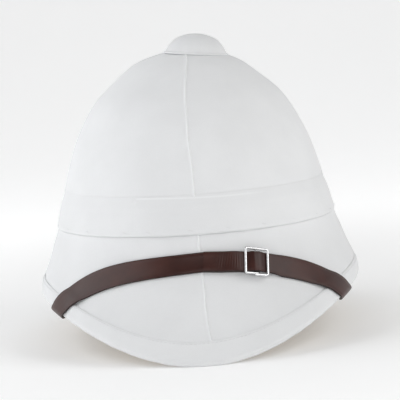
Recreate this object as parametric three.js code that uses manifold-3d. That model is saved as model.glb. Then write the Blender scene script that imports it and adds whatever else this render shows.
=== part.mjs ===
// Pith helmet: a hollow pith crown and brim under four cloth panels, with a bound edge, a plain puggaree,
// a ventilator cap on top, and a leather chin strap worn up over the front peak with a wire frame buckle.
//
// Millimetres, +Z up. The front peak points to -Y and the wearer's left is +X, which a viewer in front of
// the helmet sees on the right. It rests on the lowest stretches of its brim, at the front and the rear.

import * as THREE from "three";
import Module from "manifold-3d";

const wasm = await Module();
wasm.setup();

// Crown and brim, measured on the outer face of the cloth
const crown_half_width = 112.4;
const crown_front_reach = 123;
const crown_rear_reach = 127;
const crown_height = 138.6;
const brim_half_width = 128.4;
const brim_front_reach = 173;
const brim_rear_reach = 185;
const brim_fall = 46.8;
const brim_droop = 38;
const brim_droop_power = 2.85;

// Walls and the clearance between pieces
const shell_wall = 3.4;
const cloth_thickness = 1;
const clearance = 0.3;

// Strip of cloth folded round the brim's edge
const binding_side_width = 10.5;
const binding_front_width = 15;
const binding_inside_width = 11;
const resting_flat_depth = 0.5;

// Puggaree: the band round the crown
const puggaree_height = 30;
const puggaree_foot = 1.6;
const puggaree_thickness = 2;
const puggaree_clearance = 0.5;

// Ventilator: the cap sits off the crown's middle and leans with the cloth under it
const cap_radius = 26.3;
const cap_height = 16.7;
const cap_wall = 2;
const cap_offset = 9;
const cap_lean = 6.3;
const vent_hole_radius = 12;
const vent_post_radius = 5;
const vent_plate_radius = 17;
const vent_plate_thickness = 2;
const vent_plate_clearance = 0.7;
const cap_socket_depth = 6;
const cap_socket_wall = 2.5;
const cap_roof_sag = 0.9;
const plate_slope = 19;

// Chin strap: its middle line rises from the brim's edge at the sides to its highest at the front
const strap_width = 16;
const strap_thickness = 1.4;
const strap_turned_thickness = 1;
const strap_seat = 0.65;
const strap_ramp = 12;
const strap_front_height = 79.2;
const strap_left_wrap_angle = 58.5;
const strap_right_wrap_angle = 57.6;
const strap_left_rise = 1.2;
const strap_right_sag = 4.9;
const strap_inside_length = 46;
const strap_end_past_stud = 8;
const strap_tail_length = 30.2;

// Buckle: a frame with its bar set lower than the frame
const buckle_place = 41.7;
const buckle_length = 19.6;
const buckle_height = 22.7;
const buckle_wire_width = 2.1;
const buckle_wire_thickness = 1.8;
const buckle_bar_width = 2.4;
const buckle_bar_thickness = 1.4;

// The strap lies flat this far to each side of the bar, and is back on the helmet after the fade
const flat_reach = 11.8;
const flat_fade = 9.8;

// Studs that hold the strap to the inside of the shell
const stud_head_radius = 5;
const stud_head_thickness = 1.5;
const stud_stem_radius = 1.8;
const stud_depth = 2;

// How finely the round forms are stepped
const columns = 44;
const cap_sides = 28;
const post_sides = 20;
const edge_turn_steps = 5;
const edge_roundness = 0.4;
const cover_top_place = 0.08;

// Steps, in sections, millimetres and degrees, that slopes and distances are worked out with
const slope_step = 0.001;
const nearest_the_top = 0.02;
const walk_step = 0.1;
const halvings = 40;
const path_step = 0.5;
const path_span = 1;

// Sections of the crown from its top to its foot, as shares of its height and half width
const crown_sections = [
  { height: 1.0, width: 0.0 },
  { height: 0.975, width: 0.2 },
  { height: 0.925, width: 0.375 },
  { height: 0.835, width: 0.52 },
  { height: 0.71, width: 0.68 },
  { height: 0.52, width: 0.813 },
  { height: 0.33, width: 0.898 },
  { height: 0.16, width: 0.951 },
  { height: 0.0, width: 1.0 },
];

// Sections of the brim from the crown's foot to its edge: how far it has fallen, and how far it has spread
// at the sides and at the peaks, as shares of the whole fall and spread
const brim_sections = [
  { fall: 0.25, side: 0.27, peak: 0.15 },
  { fall: 0.5, side: 0.53, peak: 0.41 },
  { fall: 0.75, side: 0.84, peak: 0.7 },
  { fall: 0.88, side: 0.96, peak: 0.87 },
  { fall: 1.0, side: 1.0, peak: 1.0 },
];

// The front seam wanders sideways: shares of the way from the crown's top to the brim's edge, and degrees
const seam_wander = [
  { way: 0.0, turn: 5.0 },
  { way: 0.3, turn: -0.85 },
  { way: 0.36, turn: -0.95 },
  { way: 0.46, turn: 0.15 },
  { way: 0.62, turn: 0.75 },
  { way: 0.76, turn: 1.5 },
  { way: 1.0, turn: 3.2 },
];

// Outline of the ventilator cap from its hem to its top, as shares of its radius and height
const cap_sections = [
  { radius: 1.0, height: 0.0 },
  { radius: 0.955, height: 0.09 },
  { radius: 0.9, height: 0.25 },
  { radius: 0.82, height: 0.46 },
  { radius: 0.66, height: 0.71 },
  { radius: 0.48, height: 0.86 },
  { radius: 0.25, height: 0.965 },
  { radius: 0.0, height: 1.0 },
];

const cover_depth = cloth_thickness + clearance;
const skin_to_lining = cover_depth + shell_wall;
const binding_lift = clearance + cloth_thickness;
const last_section = crown_sections.length + brim_sections.length - 1;
const degree = Math.PI / 180;

// Materials

function finish(color, roughness, metalness = 0) {
  return new THREE.MeshStandardMaterial({ color, roughness, metalness });
}

const white_cloth = finish(0xe1e3e5, 0.9);
const white_binding = finish(0xe3e4e6, 0.9);
const pith = finish(0xcbb68c, 0.95);
const brown_leather = finish(0x4a2a24, 0.4);
const bright_steel = finish(0xd8dadc, 0.25, 1);
const brass = finish(0xb08d4a, 0.35, 1);

// The cloth's outer face, with the crown's foot at height 0. A section is found between the table's rows
// by a smooth curve.

function crownRow({ height, width }) {
  return {
    z: crown_height * height,
    side: crown_half_width * width,
    front: crown_half_width * width + (crown_front_reach - crown_half_width) * width * width,
    rear: crown_half_width * width + (crown_rear_reach - crown_half_width) * width * width,
    droop: 0,
  };
}

function brimRow({ fall, side, peak }) {
  return {
    z: -brim_fall * fall,
    side: THREE.MathUtils.lerp(crown_half_width, brim_half_width, side),
    front: THREE.MathUtils.lerp(crown_front_reach, brim_front_reach, peak),
    rear: THREE.MathUtils.lerp(crown_rear_reach, brim_rear_reach, peak),
    droop: brim_droop * fall,
  };
}

const sections = [...crown_sections.map(crownRow), ...brim_sections.map(brimRow)];

// The row before the first mirrors the one after it, and the row after the last carries straight on
function sectionRow(index, key) {
  if (index < 0) {
    return key === "z" || key === "droop" ? sections[-index][key] : -sections[-index][key];
  }
  if (index > last_section) {
    return 2 * sections[last_section][key] - sections[last_section - 1][key];
  }
  return sections[index][key];
}

function sectionValue(place, key) {
  const row = Math.min(Math.floor(place), last_section - 1);
  const share = place - row;
  const [before, start, end, after] = [-1, 0, 1, 2].map((step) => sectionRow(row + step, key));
  const slope_in = (end - before) / 2;
  const slope_out = (after - start) / 2;
  return THREE.MathUtils.lerp(start, end, share)
    + share * (1 - share) * ((1 - share) * (slope_in - (end - start)) - share * (slope_out - (end - start)));
}

function wanderAt(way) {
  const next = Math.max(1, seam_wander.findIndex((row) => row.way >= Math.min(way, 1)));
  const [from, to] = [seam_wander[next - 1], seam_wander[next]];
  const share = (way - from.way) / (to.way - from.way);
  return THREE.MathUtils.lerp(from.turn, to.turn, THREE.MathUtils.smoothstep(share, 0, 1)) * degree;
}

// angle runs round from the viewer's right, with the front peak at -90 degrees
function skinPoint(angle, place) {
  const toward_front = Math.max(0, -Math.sin(angle));
  const turned = angle + wanderAt(place / last_section) * toward_front ** 4;
  const across = Math.cos(turned);
  const along = Math.sin(turned);
  const reach = sectionValue(place, along < 0 ? "front" : "rear");
  return new THREE.Vector3(
    sectionValue(place, "side") * across,
    reach * along,
    sectionValue(place, "z") - sectionValue(place, "droop") * Math.abs(along) ** brim_droop_power,
  );
}

function skinFrame(angle, place) {
  const at = Math.max(place, nearest_the_top);
  const round = skinPoint(angle + slope_step, at).sub(skinPoint(angle - slope_step, at)).normalize();
  const fall = skinPoint(angle, at + slope_step).sub(skinPoint(angle, at - slope_step)).normalize();
  const out = new THREE.Vector3().crossVectors(fall, round).normalize();
  const down = new THREE.Vector3().crossVectors(round, out).normalize();
  return { round, out, down };
}

// All columns meet at the crown's top, where the cloth faces straight up
function skin(angle, place, lift) {
  const out = place > 0 ? skinFrame(angle, place).out : new THREE.Vector3(0, 0, 1);
  return skinPoint(angle, place).addScaledVector(out, lift);
}

// The section at a given distance up the cloth from the brim's edge
function placeAbove(angle, distance) {
  let place = last_section;
  let point = skinPoint(angle, place);
  let gone = 0;
  while (place > walk_step) {
    const next = skinPoint(angle, place - walk_step);
    const length = next.distanceTo(point);
    if (gone + length >= distance) {
      return place - walk_step * (distance - gone) / length;
    }
    gone += length;
    place -= walk_step;
    point = next;
  }
  return place;
}

// The section where the cloth is at a given height
function placeAtHeight(angle, height) {
  let above = 0;
  let below = last_section;
  for (let turn = 0; turn < halvings; turn++) {
    const middle = (above + below) / 2;
    if (skinPoint(angle, middle).z > height) {
      above = middle;
    } else {
      below = middle;
    }
  }
  return above;
}

// A point near the brim's edge. Up the outside the distance is positive; below zero it goes round the edge
// and then up the inside. lift is the distance from the cloth, or from the shell's inner face.
const edge_radius = skin_to_lining / 2;
const turn_radius = edge_radius + binding_lift + strap_thickness / 2;
const turn_length = Math.PI * turn_radius;

function roundTheEdge(angle, distance, lift) {
  if (distance >= 0) {
    return skin(angle, placeAbove(angle, distance), lift);
  }
  if (distance <= -turn_length) {
    return skin(angle, placeAbove(angle, -distance - turn_length), -skin_to_lining - lift);
  }
  const { out, down } = skinFrame(angle, last_section);
  const turned = -distance / turn_radius;
  return skin(angle, last_section, -edge_radius)
    .addScaledVector(out, (edge_radius + lift) * Math.cos(turned))
    .addScaledVector(down, (edge_radius + lift) * Math.sin(turned));
}

// Meshes

// Joins equal points, drops collapsed faces and turns the faces outwards
function closedGeometry(points, faces) {
  const kept = [];
  const index_of = new Map();
  const merged = points.map((point) => {
    const name = [point.x, point.y, point.z].map((value) => Math.round(value * 1e4)).join(" ");
    if (!index_of.has(name)) {
      index_of.set(name, kept.length);
      kept.push(point);
    }
    return index_of.get(name);
  });
  const solid_faces = faces
    .map((face) => face.map((corner) => merged[corner]))
    .filter(([a, b, c]) => a !== b && b !== c && c !== a);
  const volume = solid_faces.reduce((sum, [a, b, c]) => {
    return sum + kept[a].dot(new THREE.Vector3().crossVectors(kept[b], kept[c]));
  }, 0);
  const outward = volume > 0 ? solid_faces : solid_faces.map(([a, b, c]) => [a, c, b]);
  const geometry = new THREE.BufferGeometry();
  geometry.setAttribute("position", new THREE.Float32BufferAttribute(kept.flatMap((p) => p.toArray()), 3));
  geometry.setIndex(outward.flat());
  return geometry;
}

// Skins a row of loops that have the same number of points. A loop closes on itself unless it is open, and
// the row of loops closes into a ring unless end_faces fill its first and last loop.
function skinLoops(loops, { open = false, end_faces = null } = {}) {
  const count = loops[0].length;
  const faces = [];
  const spans = end_faces ? loops.length - 1 : loops.length;
  for (let i = 0; i < spans; i++) {
    const here = i * count;
    const next = ((i + 1) % loops.length) * count;
    for (let j = 0; j < (open ? count - 1 : count); j++) {
      const k = (j + 1) % count;
      faces.push([here + j, next + j, next + k], [here + j, next + k, here + k]);
    }
  }
  if (end_faces) {
    const last = (loops.length - 1) * count;
    end_faces.forEach(([a, b, c]) => {
      faces.push([a, b, c], [last + a, last + c, last + b]);
    });
  }
  return closedGeometry(loops.flat(), faces);
}

// Faces between the first points of a loop and its last ones, which run back beside them
function stripFaces(count, pairs) {
  const faces = [];
  for (let j = 0; j < pairs - 1; j++) {
    const across = count - 1 - j;
    faces.push([j, j + 1, across - 1], [j, across - 1, across]);
  }
  return faces;
}

function toSolid(geometry) {
  const position = geometry.getAttribute("position");
  const points = [];
  for (let i = 0; i < position.count; i++) {
    points.push(new THREE.Vector3().fromBufferAttribute(position, i));
  }
  const order = geometry.index ? Array.from(geometry.index.array) : points.map((_, i) => i);
  const faces = [];
  for (let i = 0; i < order.length; i += 3) {
    faces.push(order.slice(i, i + 3));
  }
  const clean = closedGeometry(points, faces);
  return new wasm.Manifold(new wasm.Mesh({
    numProp: 3,
    vertProperties: Float32Array.from(clean.getAttribute("position").array),
    triVerts: Uint32Array.from(clean.index.array),
  }));
}

function toGeometry(solid) {
  const { vertProperties, triVerts } = solid.getMesh();
  const geometry = new THREE.BufferGeometry();
  geometry.setAttribute("position", new THREE.Float32BufferAttribute(Array.from(vertProperties), 3));
  geometry.setIndex(Array.from(triVerts));
  return geometry;
}

function boxAt(size, center) {
  return new THREE.BoxGeometry(...size).translate(...center);
}

// A round bar along Z from one height to another
function roundBar(radius, low, high, sides) {
  return new THREE.CylinderGeometry(radius, radius, high - low, sides)
    .rotateX(Math.PI / 2)
    .translate(0, 0, (low + high) / 2);
}

function named(name, geometry, material) {
  const mesh = new THREE.Mesh(geometry, material);
  mesh.name = name;
  return mesh;
}

const column_angles = Array.from({ length: columns }, (_, i) => (i / columns) * 2 * Math.PI - Math.PI);
const section_places = sections.map((_, i) => i);

// Ventilator: where the cap sits on the crown

const cap_frame = new THREE.Matrix4().makeRotationY(cap_lean * degree);

// Height of the cloth above a point of the plan, near the crown's top
function crownHeightAt(x, y) {
  const angle = Math.atan2(y / crown_front_reach, x / crown_half_width);
  let above = 0;
  let below = crown_sections.length - 1;
  for (let turn = 0; turn < halvings; turn++) {
    const middle = (above + below) / 2;
    const point = skinPoint(angle, middle);
    if (Math.hypot(point.x, point.y) < Math.hypot(x, y)) {
      above = middle;
    } else {
      below = middle;
    }
  }
  return skinPoint(angle, above).z;
}

// The lowest height at which the cap's hem clears the cloth all round
function capSeatHeight() {
  const heights = Array.from({ length: cap_sides }, (_, i) => {
    const angle = (i / cap_sides) * 2 * Math.PI;
    const hem = new THREE.Vector3(cap_radius * Math.cos(angle), cap_radius * Math.sin(angle), 0);
    hem.applyMatrix4(cap_frame);
    return crownHeightAt(cap_offset + hem.x, hem.y) - hem.z;
  });
  return Math.max(...heights) + clearance;
}

cap_frame.setPosition(cap_offset, 0, capSeatHeight());

// The shell under the cap is cut along the cap's own axis
function ventHole() {
  const hole = roundBar(vent_hole_radius, -crown_height / 2, cap_height, post_sides * 2);
  return toSolid(hole.applyMatrix4(cap_frame));
}

function cutByVent(geometry) {
  return toGeometry(toSolid(geometry).subtract(ventHole()));
}

// Chin strap: its middle line, by distance from the front seam, positive to the viewer's right

function strapHeight(turn) {
  const share = Math.abs(turn) / (turn > 0 ? strap_right_wrap_angle : strap_left_wrap_angle);
  const sag = turn > 0 ? strap_right_sag : -strap_left_rise;
  if (share <= 1) {
    return strap_front_height * (1 - share * share) - sag * Math.sin(Math.PI * share);
  }
  return -(2 * strap_front_height - sag * Math.PI) * (share - 1);
}

function strapAngle(turn) {
  return (turn - 90) * degree;
}

function strapSide(direction) {
  const line = [{ length: 0, turn: 0, height: strapHeight(0) }];
  const inside_end = -turn_length - strap_inside_length - strap_end_past_stud;
  let point = roundTheEdge(strapAngle(0), strapHeight(0), strap_seat);
  for (let turn = path_step; line.at(-1).height > inside_end; turn += path_step) {
    const height = strapHeight(turn * direction);
    const next = roundTheEdge(strapAngle(turn * direction), height, strap_seat + binding_lift);
    line.push({ length: line.at(-1).length + next.distanceTo(point), turn: turn * direction, height });
    point = next;
  }
  return line;
}

const strap_right_line = strapSide(1);
const strap_left_line = strapSide(-1);

function onLine(line, length) {
  const next = Math.min(line.length - 1, Math.max(1, line.findIndex((row) => row.length >= length)));
  const last = line.at(-1).length <= length ? line.length - 1 : next;
  const [from, to] = [line[last - 1], line[last]];
  const share = (length - from.length) / (to.length - from.length);
  return {
    turn: THREE.MathUtils.lerp(from.turn, to.turn, share),
    height: THREE.MathUtils.lerp(from.height, to.height, share),
  };
}

function strapMiddle(distance) {
  return distance >= 0 ? onLine(strap_right_line, distance) : onLine(strap_left_line, -distance);
}

function lengthAtHeight(line, height) {
  return line.find((row) => row.height <= height).length;
}

// The strap rides over the binding near the edge
function strapGround(angle, distance) {
  const binding_edge = bindingWidth(angle);
  const ramp_start = binding_edge + strap_ramp / 4;
  const rise = 1 - THREE.MathUtils.smoothstep(distance, ramp_start, binding_edge + strap_ramp);
  return strap_seat + binding_lift * rise;
}

// Sections cross the strap squarely, but where it turns round the edge they lie along the edge
function sectionSkew(height) {
  const past_edge = Math.max(0, height, -height - turn_length);
  return 1 - THREE.MathUtils.smoothstep(past_edge, strap_width / 4, strap_width * 1.5);
}

// A point of the strap where it follows the helmet: distance along it, height above its seat and distance
// across it
function strapOnHelmet(distance, lift, across) {
  const middle = strapMiddle(distance);
  const before = strapMiddle(distance - path_span);
  const after = strapMiddle(distance + path_span);
  const half_degree = 0.5;
  const per_degree = roundTheEdge(strapAngle(middle.turn + half_degree), middle.height, strap_seat)
    .distanceTo(roundTheEdge(strapAngle(middle.turn - half_degree), middle.height, strap_seat));
  const round = (after.turn - before.turn) * per_degree;
  const along = new THREE.Vector2(round, after.height - before.height).normalize();
  const skew = sectionSkew(middle.height);
  const slide = skew > 0 ? (-skew * across * along.x) / along.y : 0;
  const angle = strapAngle(middle.turn + (slide * along.x - across * along.y) / per_degree);
  const height = middle.height + across * along.x + slide * along.y;
  return roundTheEdge(angle, height, strapGround(angle, height) + lift);
}

// Places a piece on the strap: X along the strap, Y across it and Z away from the cloth
function frameOnStrap(distance) {
  const half = strap_width / 2;
  const edges = (place) => {
    return strapOnHelmet(place, 0, half).add(strapOnHelmet(place, 0, -half)).divideScalar(2);
  };
  const along = edges(distance + half).sub(edges(distance - half)).normalize();
  const across = strapOnHelmet(distance, 0, half).sub(strapOnHelmet(distance, 0, -half)).normalize();
  const out = new THREE.Vector3().crossVectors(along, across).normalize();
  across.crossVectors(out, along);
  return new THREE.Matrix4().makeBasis(along, across, out).setPosition(edges(distance));
}

const bar_place = buckle_place;
const buckle_frame = frameOnStrap(bar_place);

// The strap lies flat across where the buckle holds it
function strapPoint(distance, lift, across) {
  const from_bar = Math.abs(distance - bar_place);
  const held = 1 - THREE.MathUtils.smoothstep(from_bar, flat_reach, flat_reach + flat_fade);
  const flat = new THREE.Vector3(distance - bar_place, across, lift).applyMatrix4(buckle_frame);
  return strapOnHelmet(distance, lift, across).lerp(flat, held);
}

// A strap is drawn by its outline seen from its edge, and given its width by three such outlines. The
// outline's first stations are paired with its last ones, and what is left between them is a turned end.
function strapFrom({ outline, pairs }) {
  const end_faces = stripFaces(outline.length, pairs);
  const turned_end = outline.slice(pairs - 1, outline.length - pairs + 1);
  const contour = turned_end.map(([distance, lift]) => new THREE.Vector2(distance, lift));
  THREE.ShapeUtils.triangulateShape(contour, []).forEach((face) => {
    end_faces.push(face.map((corner) => corner + pairs - 1));
  });
  const loops = [-strap_width / 2, 0, strap_width / 2].map((across) => {
    return outline.map(([distance, lift]) => strapPoint(distance, lift, across));
  });
  return skinLoops(loops, { end_faces });
}

// Stations along the strap, closer together where it turns round the edge
function strapStations(from, to) {
  const line = to > 0 ? strap_right_line : strap_left_line;
  const turn_starts = lengthAtHeight(line, strap_width / 2);
  const turn_ends = lengthAtHeight(line, -turn_length - strap_width / 2);
  const stations = [Math.abs(from)];
  while (stations.at(-1) < Math.abs(to)) {
    const here = stations.at(-1);
    stations.push(here + (here > turn_starts && here < turn_ends ? strap_width / 5 : strap_width / 2));
  }
  stations[stations.length - 1] = Math.abs(to);
  return stations.map((length) => Math.sign(to) * length);
}

function bindingWidth(angle) {
  return THREE.MathUtils.lerp(binding_side_width, binding_front_width, Math.sin(angle) ** 2);
}

// Buckle levels above the strap's seat, stacked from the cloth outwards

const hook_under = strap_turned_thickness;
const bar_low = hook_under + clearance;
const bar_high = bar_low + buckle_bar_thickness;
const hook_low = bar_high + clearance;
const hook_high = hook_low + strap_turned_thickness;
const over_bar = hook_high + clearance;
const tail_low = strap_thickness + 2 * clearance;
const frame_low = tail_low + strap_thickness + clearance;
const frame_high = frame_low + buckle_wire_thickness;
const frame_inner_half = buckle_length / 2 - buckle_wire_width;
const hook_end = buckle_bar_width / 2 + clearance + strap_turned_thickness;

const right_end = lengthAtHeight(strap_right_line, -turn_length - strap_inside_length) + strap_end_past_stud;
const left_end = -lengthAtHeight(strap_left_line, -turn_length - strap_inside_length) - strap_end_past_stud;

// The right leather goes under the frame, over the bar and under the frame again, and ends in the tail
function rightStrapOutline() {
  const tail_end = bar_place - buckle_length / 2 - strap_tail_length;
  const run = [
    [tail_end, tail_low],
    [tail_end + strap_tail_length / 4, tail_low],
    [tail_end + strap_tail_length / 2, tail_low],
    [tail_end + strap_tail_length * 0.75, tail_low],
    [bar_place - frame_inner_half - buckle_wire_width / 2, tail_low],
    [bar_place - frame_inner_half + buckle_wire_width / 4, tail_low],
    [bar_place - hook_end, over_bar],
    [bar_place + hook_end, over_bar],
    [bar_place + frame_inner_half - buckle_wire_width / 4, tail_low],
    [bar_place + frame_inner_half + buckle_wire_width, tail_low],
    [bar_place + buckle_length / 2 + strap_width / 2, 0],
    ...strapStations(bar_place + buckle_length / 2 + strap_width, right_end).map((distance) => [distance, 0]),
  ];
  const upper = run.map(([distance, lift]) => [distance, lift + strap_thickness]).reverse();
  return { outline: [...run, ...upper], pairs: run.length };
}

// The left leather lies on the cloth, and its thinned end is turned over the bar
function leftStrapOutline() {
  const thin_from = bar_place - hook_end - strap_width / 2;
  const far = strapStations(-1, left_end).map((distance) => [distance, 0]).reverse();
  const near = [0, 0.25, 0.5, 0.75, 1].map((share) => [share * thin_from, 0]);
  const flat = [...far, ...near];
  const upper = flat.map(([distance]) => [distance, strap_thickness]).reverse();
  const bar_side = buckle_bar_width / 2 + clearance;
  const hook = [
    [bar_place + bar_side, 0],
    [bar_place + hook_end, hook_under / 2],
    [bar_place + hook_end, hook_high - strap_turned_thickness / 2],
    [bar_place + bar_side, hook_high],
    [bar_place - hook_end, hook_high],
    [bar_place - hook_end, hook_low],
    [bar_place + bar_side, hook_low],
    [bar_place + bar_side, hook_under],
    [thin_from + strap_width / 8, hook_under],
  ];
  return { outline: [...flat, ...hook, ...upper], pairs: flat.length };
}

// Pieces

function pithShell() {
  const loops = column_angles.map((angle) => {
    const outer = section_places.map((place) => skin(angle, place, -cover_depth));
    const inner = section_places.map((place) => skin(angle, place, -skin_to_lining)).reverse();
    const ridge = skin(angle, last_section, -cover_depth - shell_wall / 2)
      .addScaledVector(skinFrame(angle, last_section).down, shell_wall * edge_roundness);
    return [...outer, ridge, ...inner];
  });
  const holes = [right_end - strap_end_past_stud, left_end + strap_end_past_stud].map(studHole);
  let solid = toSolid(skinLoops(loops, { open: true })).subtract(ventHole());
  holes.forEach((hole) => {
    solid = solid.subtract(hole);
  });
  return named("pith_shell", toGeometry(solid), pith);
}

// A cloth panel between two seams, each edge half a clearance back from its seam
function coverPanel(name, first_column) {
  const per_panel = columns / 4;
  const places = [cover_top_place, ...section_places.slice(1)];
  const loops = Array.from({ length: per_panel + 1 }, (_, i) => {
    const angle = column_angles[0] + ((first_column + i) / columns) * 2 * Math.PI;
    const inward = (i === 0 ? 1 : 0) - (i === per_panel ? 1 : 0);
    const at = (lift) => (place) => {
      const round = skinFrame(angle, place).round;
      return skin(angle, place, lift).addScaledVector(round, (inward * clearance) / 2);
    };
    return [...places.map(at(0)), ...places.map(at(-cloth_thickness)).reverse()];
  });
  const panel = skinLoops(loops, { end_faces: stripFaces(places.length * 2, places.length) });
  return named(name, cutByVent(panel), white_cloth);
}

function coverPanels() {
  const per_panel = columns / 4;
  const names = ["cover_front_left", "cover_front_right", "cover_rear_right", "cover_rear_left"];
  return names.map((name, i) => coverPanel(name, i * per_panel));
}

// The strip round the edge, flattened where the helmet rests on it
function edgeBinding() {
  const loops = column_angles.map((angle) => {
    const outside = [1, 0.5].map((share) => share * bindingWidth(angle));
    const turn = Array.from({ length: edge_turn_steps + 1 }, (_, i) => -(i / edge_turn_steps) * turn_length);
    const inside = [0.5, 1].map((share) => -turn_length - share * binding_inside_width);
    const run = [...outside, ...turn, ...inside];
    const outer = run.map((distance) => roundTheEdge(angle, distance, binding_lift));
    const inner = run.map((distance) => roundTheEdge(angle, distance, clearance)).reverse();
    return [...outer, ...inner];
  });
  const strip = skinLoops(loops);
  strip.computeBoundingBox();
  const floor = strip.boundingBox.min.z + resting_flat_depth;
  const span = 4 * brim_rear_reach;
  const under = toSolid(boxAt([span, span, span], [0, 0, floor - span / 2]));
  return named("edge_binding", toGeometry(toSolid(strip).subtract(under)), white_binding);
}

function puggaree() {
  const levels = [
    { share: 0, thickness: 0.8 },
    { share: 0.33, thickness: 1 },
    { share: 0.67, thickness: 1 },
    { share: 1, thickness: 0.8 },
  ];
  const loops = column_angles.map((angle) => {
    const low = placeAtHeight(angle, puggaree_foot);
    const high = placeAtHeight(angle, puggaree_foot + puggaree_height);
    const at = ({ share }) => THREE.MathUtils.lerp(low, high, share);
    const outer = levels.map((level) => {
      return skin(angle, at(level), puggaree_clearance + puggaree_thickness * level.thickness);
    });
    const inner = levels.map((level) => skin(angle, at(level), puggaree_clearance)).reverse();
    return [...outer, ...inner];
  });
  return named("puggaree", skinLoops(loops), white_cloth);
}

// A cloth covered dome, hollow below, with a socket for its post
function ventCap() {
  const outline = cap_sections.map(({ radius, height }) => {
    return new THREE.Vector2(cap_radius * radius, cap_height * height);
  });
  const lining = cap_sections.slice(0, -1).map(({ radius, height }) => {
    return new THREE.Vector2((cap_radius - cap_wall) * radius, (cap_height - cap_wall) * height);
  });
  const socket_radius = vent_post_radius + clearance;
  const roof = cap_height - cap_wall;
  const socket_foot = roof - cap_socket_depth;
  const socket_outer = socket_radius + cap_socket_wall;
  const inside = [
    ...lining.filter((point) => point.x > socket_outer + cap_wall),
    new THREE.Vector2(socket_outer, roof - cap_roof_sag),
    new THREE.Vector2(socket_outer, socket_foot),
    new THREE.Vector2(socket_radius, socket_foot),
    new THREE.Vector2(socket_radius, roof),
    new THREE.Vector2(0, roof),
  ];
  const profile = [...inside.reverse(), ...outline];
  const dome = new THREE.LatheGeometry(profile, cap_sides).rotateX(Math.PI / 2).applyMatrix4(cap_frame);
  return named("vent_cap", toGeometry(toSolid(dome)), white_cloth);
}

// A plain post with the plate that holds it under the shell
function ventPost() {
  const rim_heights = Array.from({ length: post_sides }, (_, i) => {
    const angle = (i / post_sides) * 2 * Math.PI;
    const rim = new THREE.Vector3(Math.cos(angle), Math.sin(angle), 0).multiplyScalar(vent_plate_radius);
    rim.applyMatrix4(cap_frame);
    const lining = crownHeightAt(rim.x, rim.y) - skin_to_lining / Math.cos(plate_slope * degree);
    return lining - rim.z;
  });
  const plate_top = Math.min(...rim_heights) - vent_plate_clearance;
  const plate = roundBar(vent_plate_radius, plate_top - vent_plate_thickness, plate_top, post_sides);
  const post_top = cap_height - cap_wall - clearance;
  const post = roundBar(vent_post_radius, plate_top - clearance, post_top, post_sides);
  const solid = toSolid(plate.applyMatrix4(cap_frame)).add(toSolid(post.applyMatrix4(cap_frame)));
  return named("vent_post", toGeometry(solid), brass);
}

function studHole(distance) {
  const hole = roundBar(stud_stem_radius + clearance, -stud_depth - 1, strap_thickness + 2, post_sides);
  return toSolid(hole.applyMatrix4(frameOnStrap(distance)));
}

function strapStud(name, distance) {
  const head_low = strap_thickness + clearance;
  const head = roundBar(stud_head_radius, head_low, head_low + stud_head_thickness, post_sides);
  const stem = roundBar(stud_stem_radius, -stud_depth, head_low + stud_head_thickness / 2, post_sides);
  const solid = toSolid(head).add(toSolid(stem));
  return named(name, toGeometry(solid).applyMatrix4(frameOnStrap(distance)), brass);
}

function chinStrap(name, outline, stud_distance) {
  const solid = toSolid(strapFrom(outline)).subtract(studHole(stud_distance));
  return named(name, toGeometry(solid), brown_leather);
}

function buckle() {
  const level = (frame_low + frame_high) / 2;
  const side_place = (buckle_length - buckle_wire_width) / 2;
  const rail_place = (buckle_height - buckle_wire_width) / 2;
  const lug_level = (frame_high + bar_low) / 2;
  const bars = [-1, 1].flatMap((end) => [
    boxAt([buckle_wire_width, buckle_height, buckle_wire_thickness], [end * side_place, 0, level]),
    boxAt([buckle_length, buckle_wire_width, buckle_wire_thickness], [0, end * rail_place, level]),
    boxAt([buckle_bar_width, buckle_wire_width, frame_high - bar_low], [0, end * rail_place, lug_level]),
  ]);
  const bar_size = [buckle_bar_width, buckle_height, buckle_bar_thickness];
  const bar = boxAt(bar_size, [0, 0, (bar_low + bar_high) / 2]);
  const solid = bars.reduce((sum, piece) => sum.add(toSolid(piece)), toSolid(bar));
  return named("buckle", toGeometry(solid).applyMatrix4(buckle_frame), bright_steel);
}

const helmet = new THREE.Group();
helmet.add(
  pithShell(),
  ...coverPanels(),
  edgeBinding(),
  puggaree(),
  ventCap(),
  ventPost(),
  chinStrap("chin_strap_right", rightStrapOutline(), right_end - strap_end_past_stud),
  chinStrap("chin_strap_left", leftStrapOutline(), left_end + strap_end_past_stud),
  buckle(),
  strapStud("strap_stud_right", right_end - strap_end_past_stud),
  strapStud("strap_stud_left", left_end + strap_end_past_stud),
);

// The origin is on the floor, under the middle of the whole
const bounds = new THREE.Box3().setFromObject(helmet, true);
const middle = bounds.getCenter(new THREE.Vector3());
helmet.position.set(-middle.x, -middle.y, -bounds.min.z);
helmet.updateMatrixWorld(true);

export default helmet;
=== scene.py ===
# The looks of a white pith helmet, laid out as a Blender add-on and run as a script.
# Metres, +Z up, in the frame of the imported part. The front peak points to -Y, and +X is on the right of a
# viewer who stands in front of the helmet.

import math
from collections import namedtuple

import bpy
import numpy as np
from mathutils import Matrix, Vector


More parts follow.
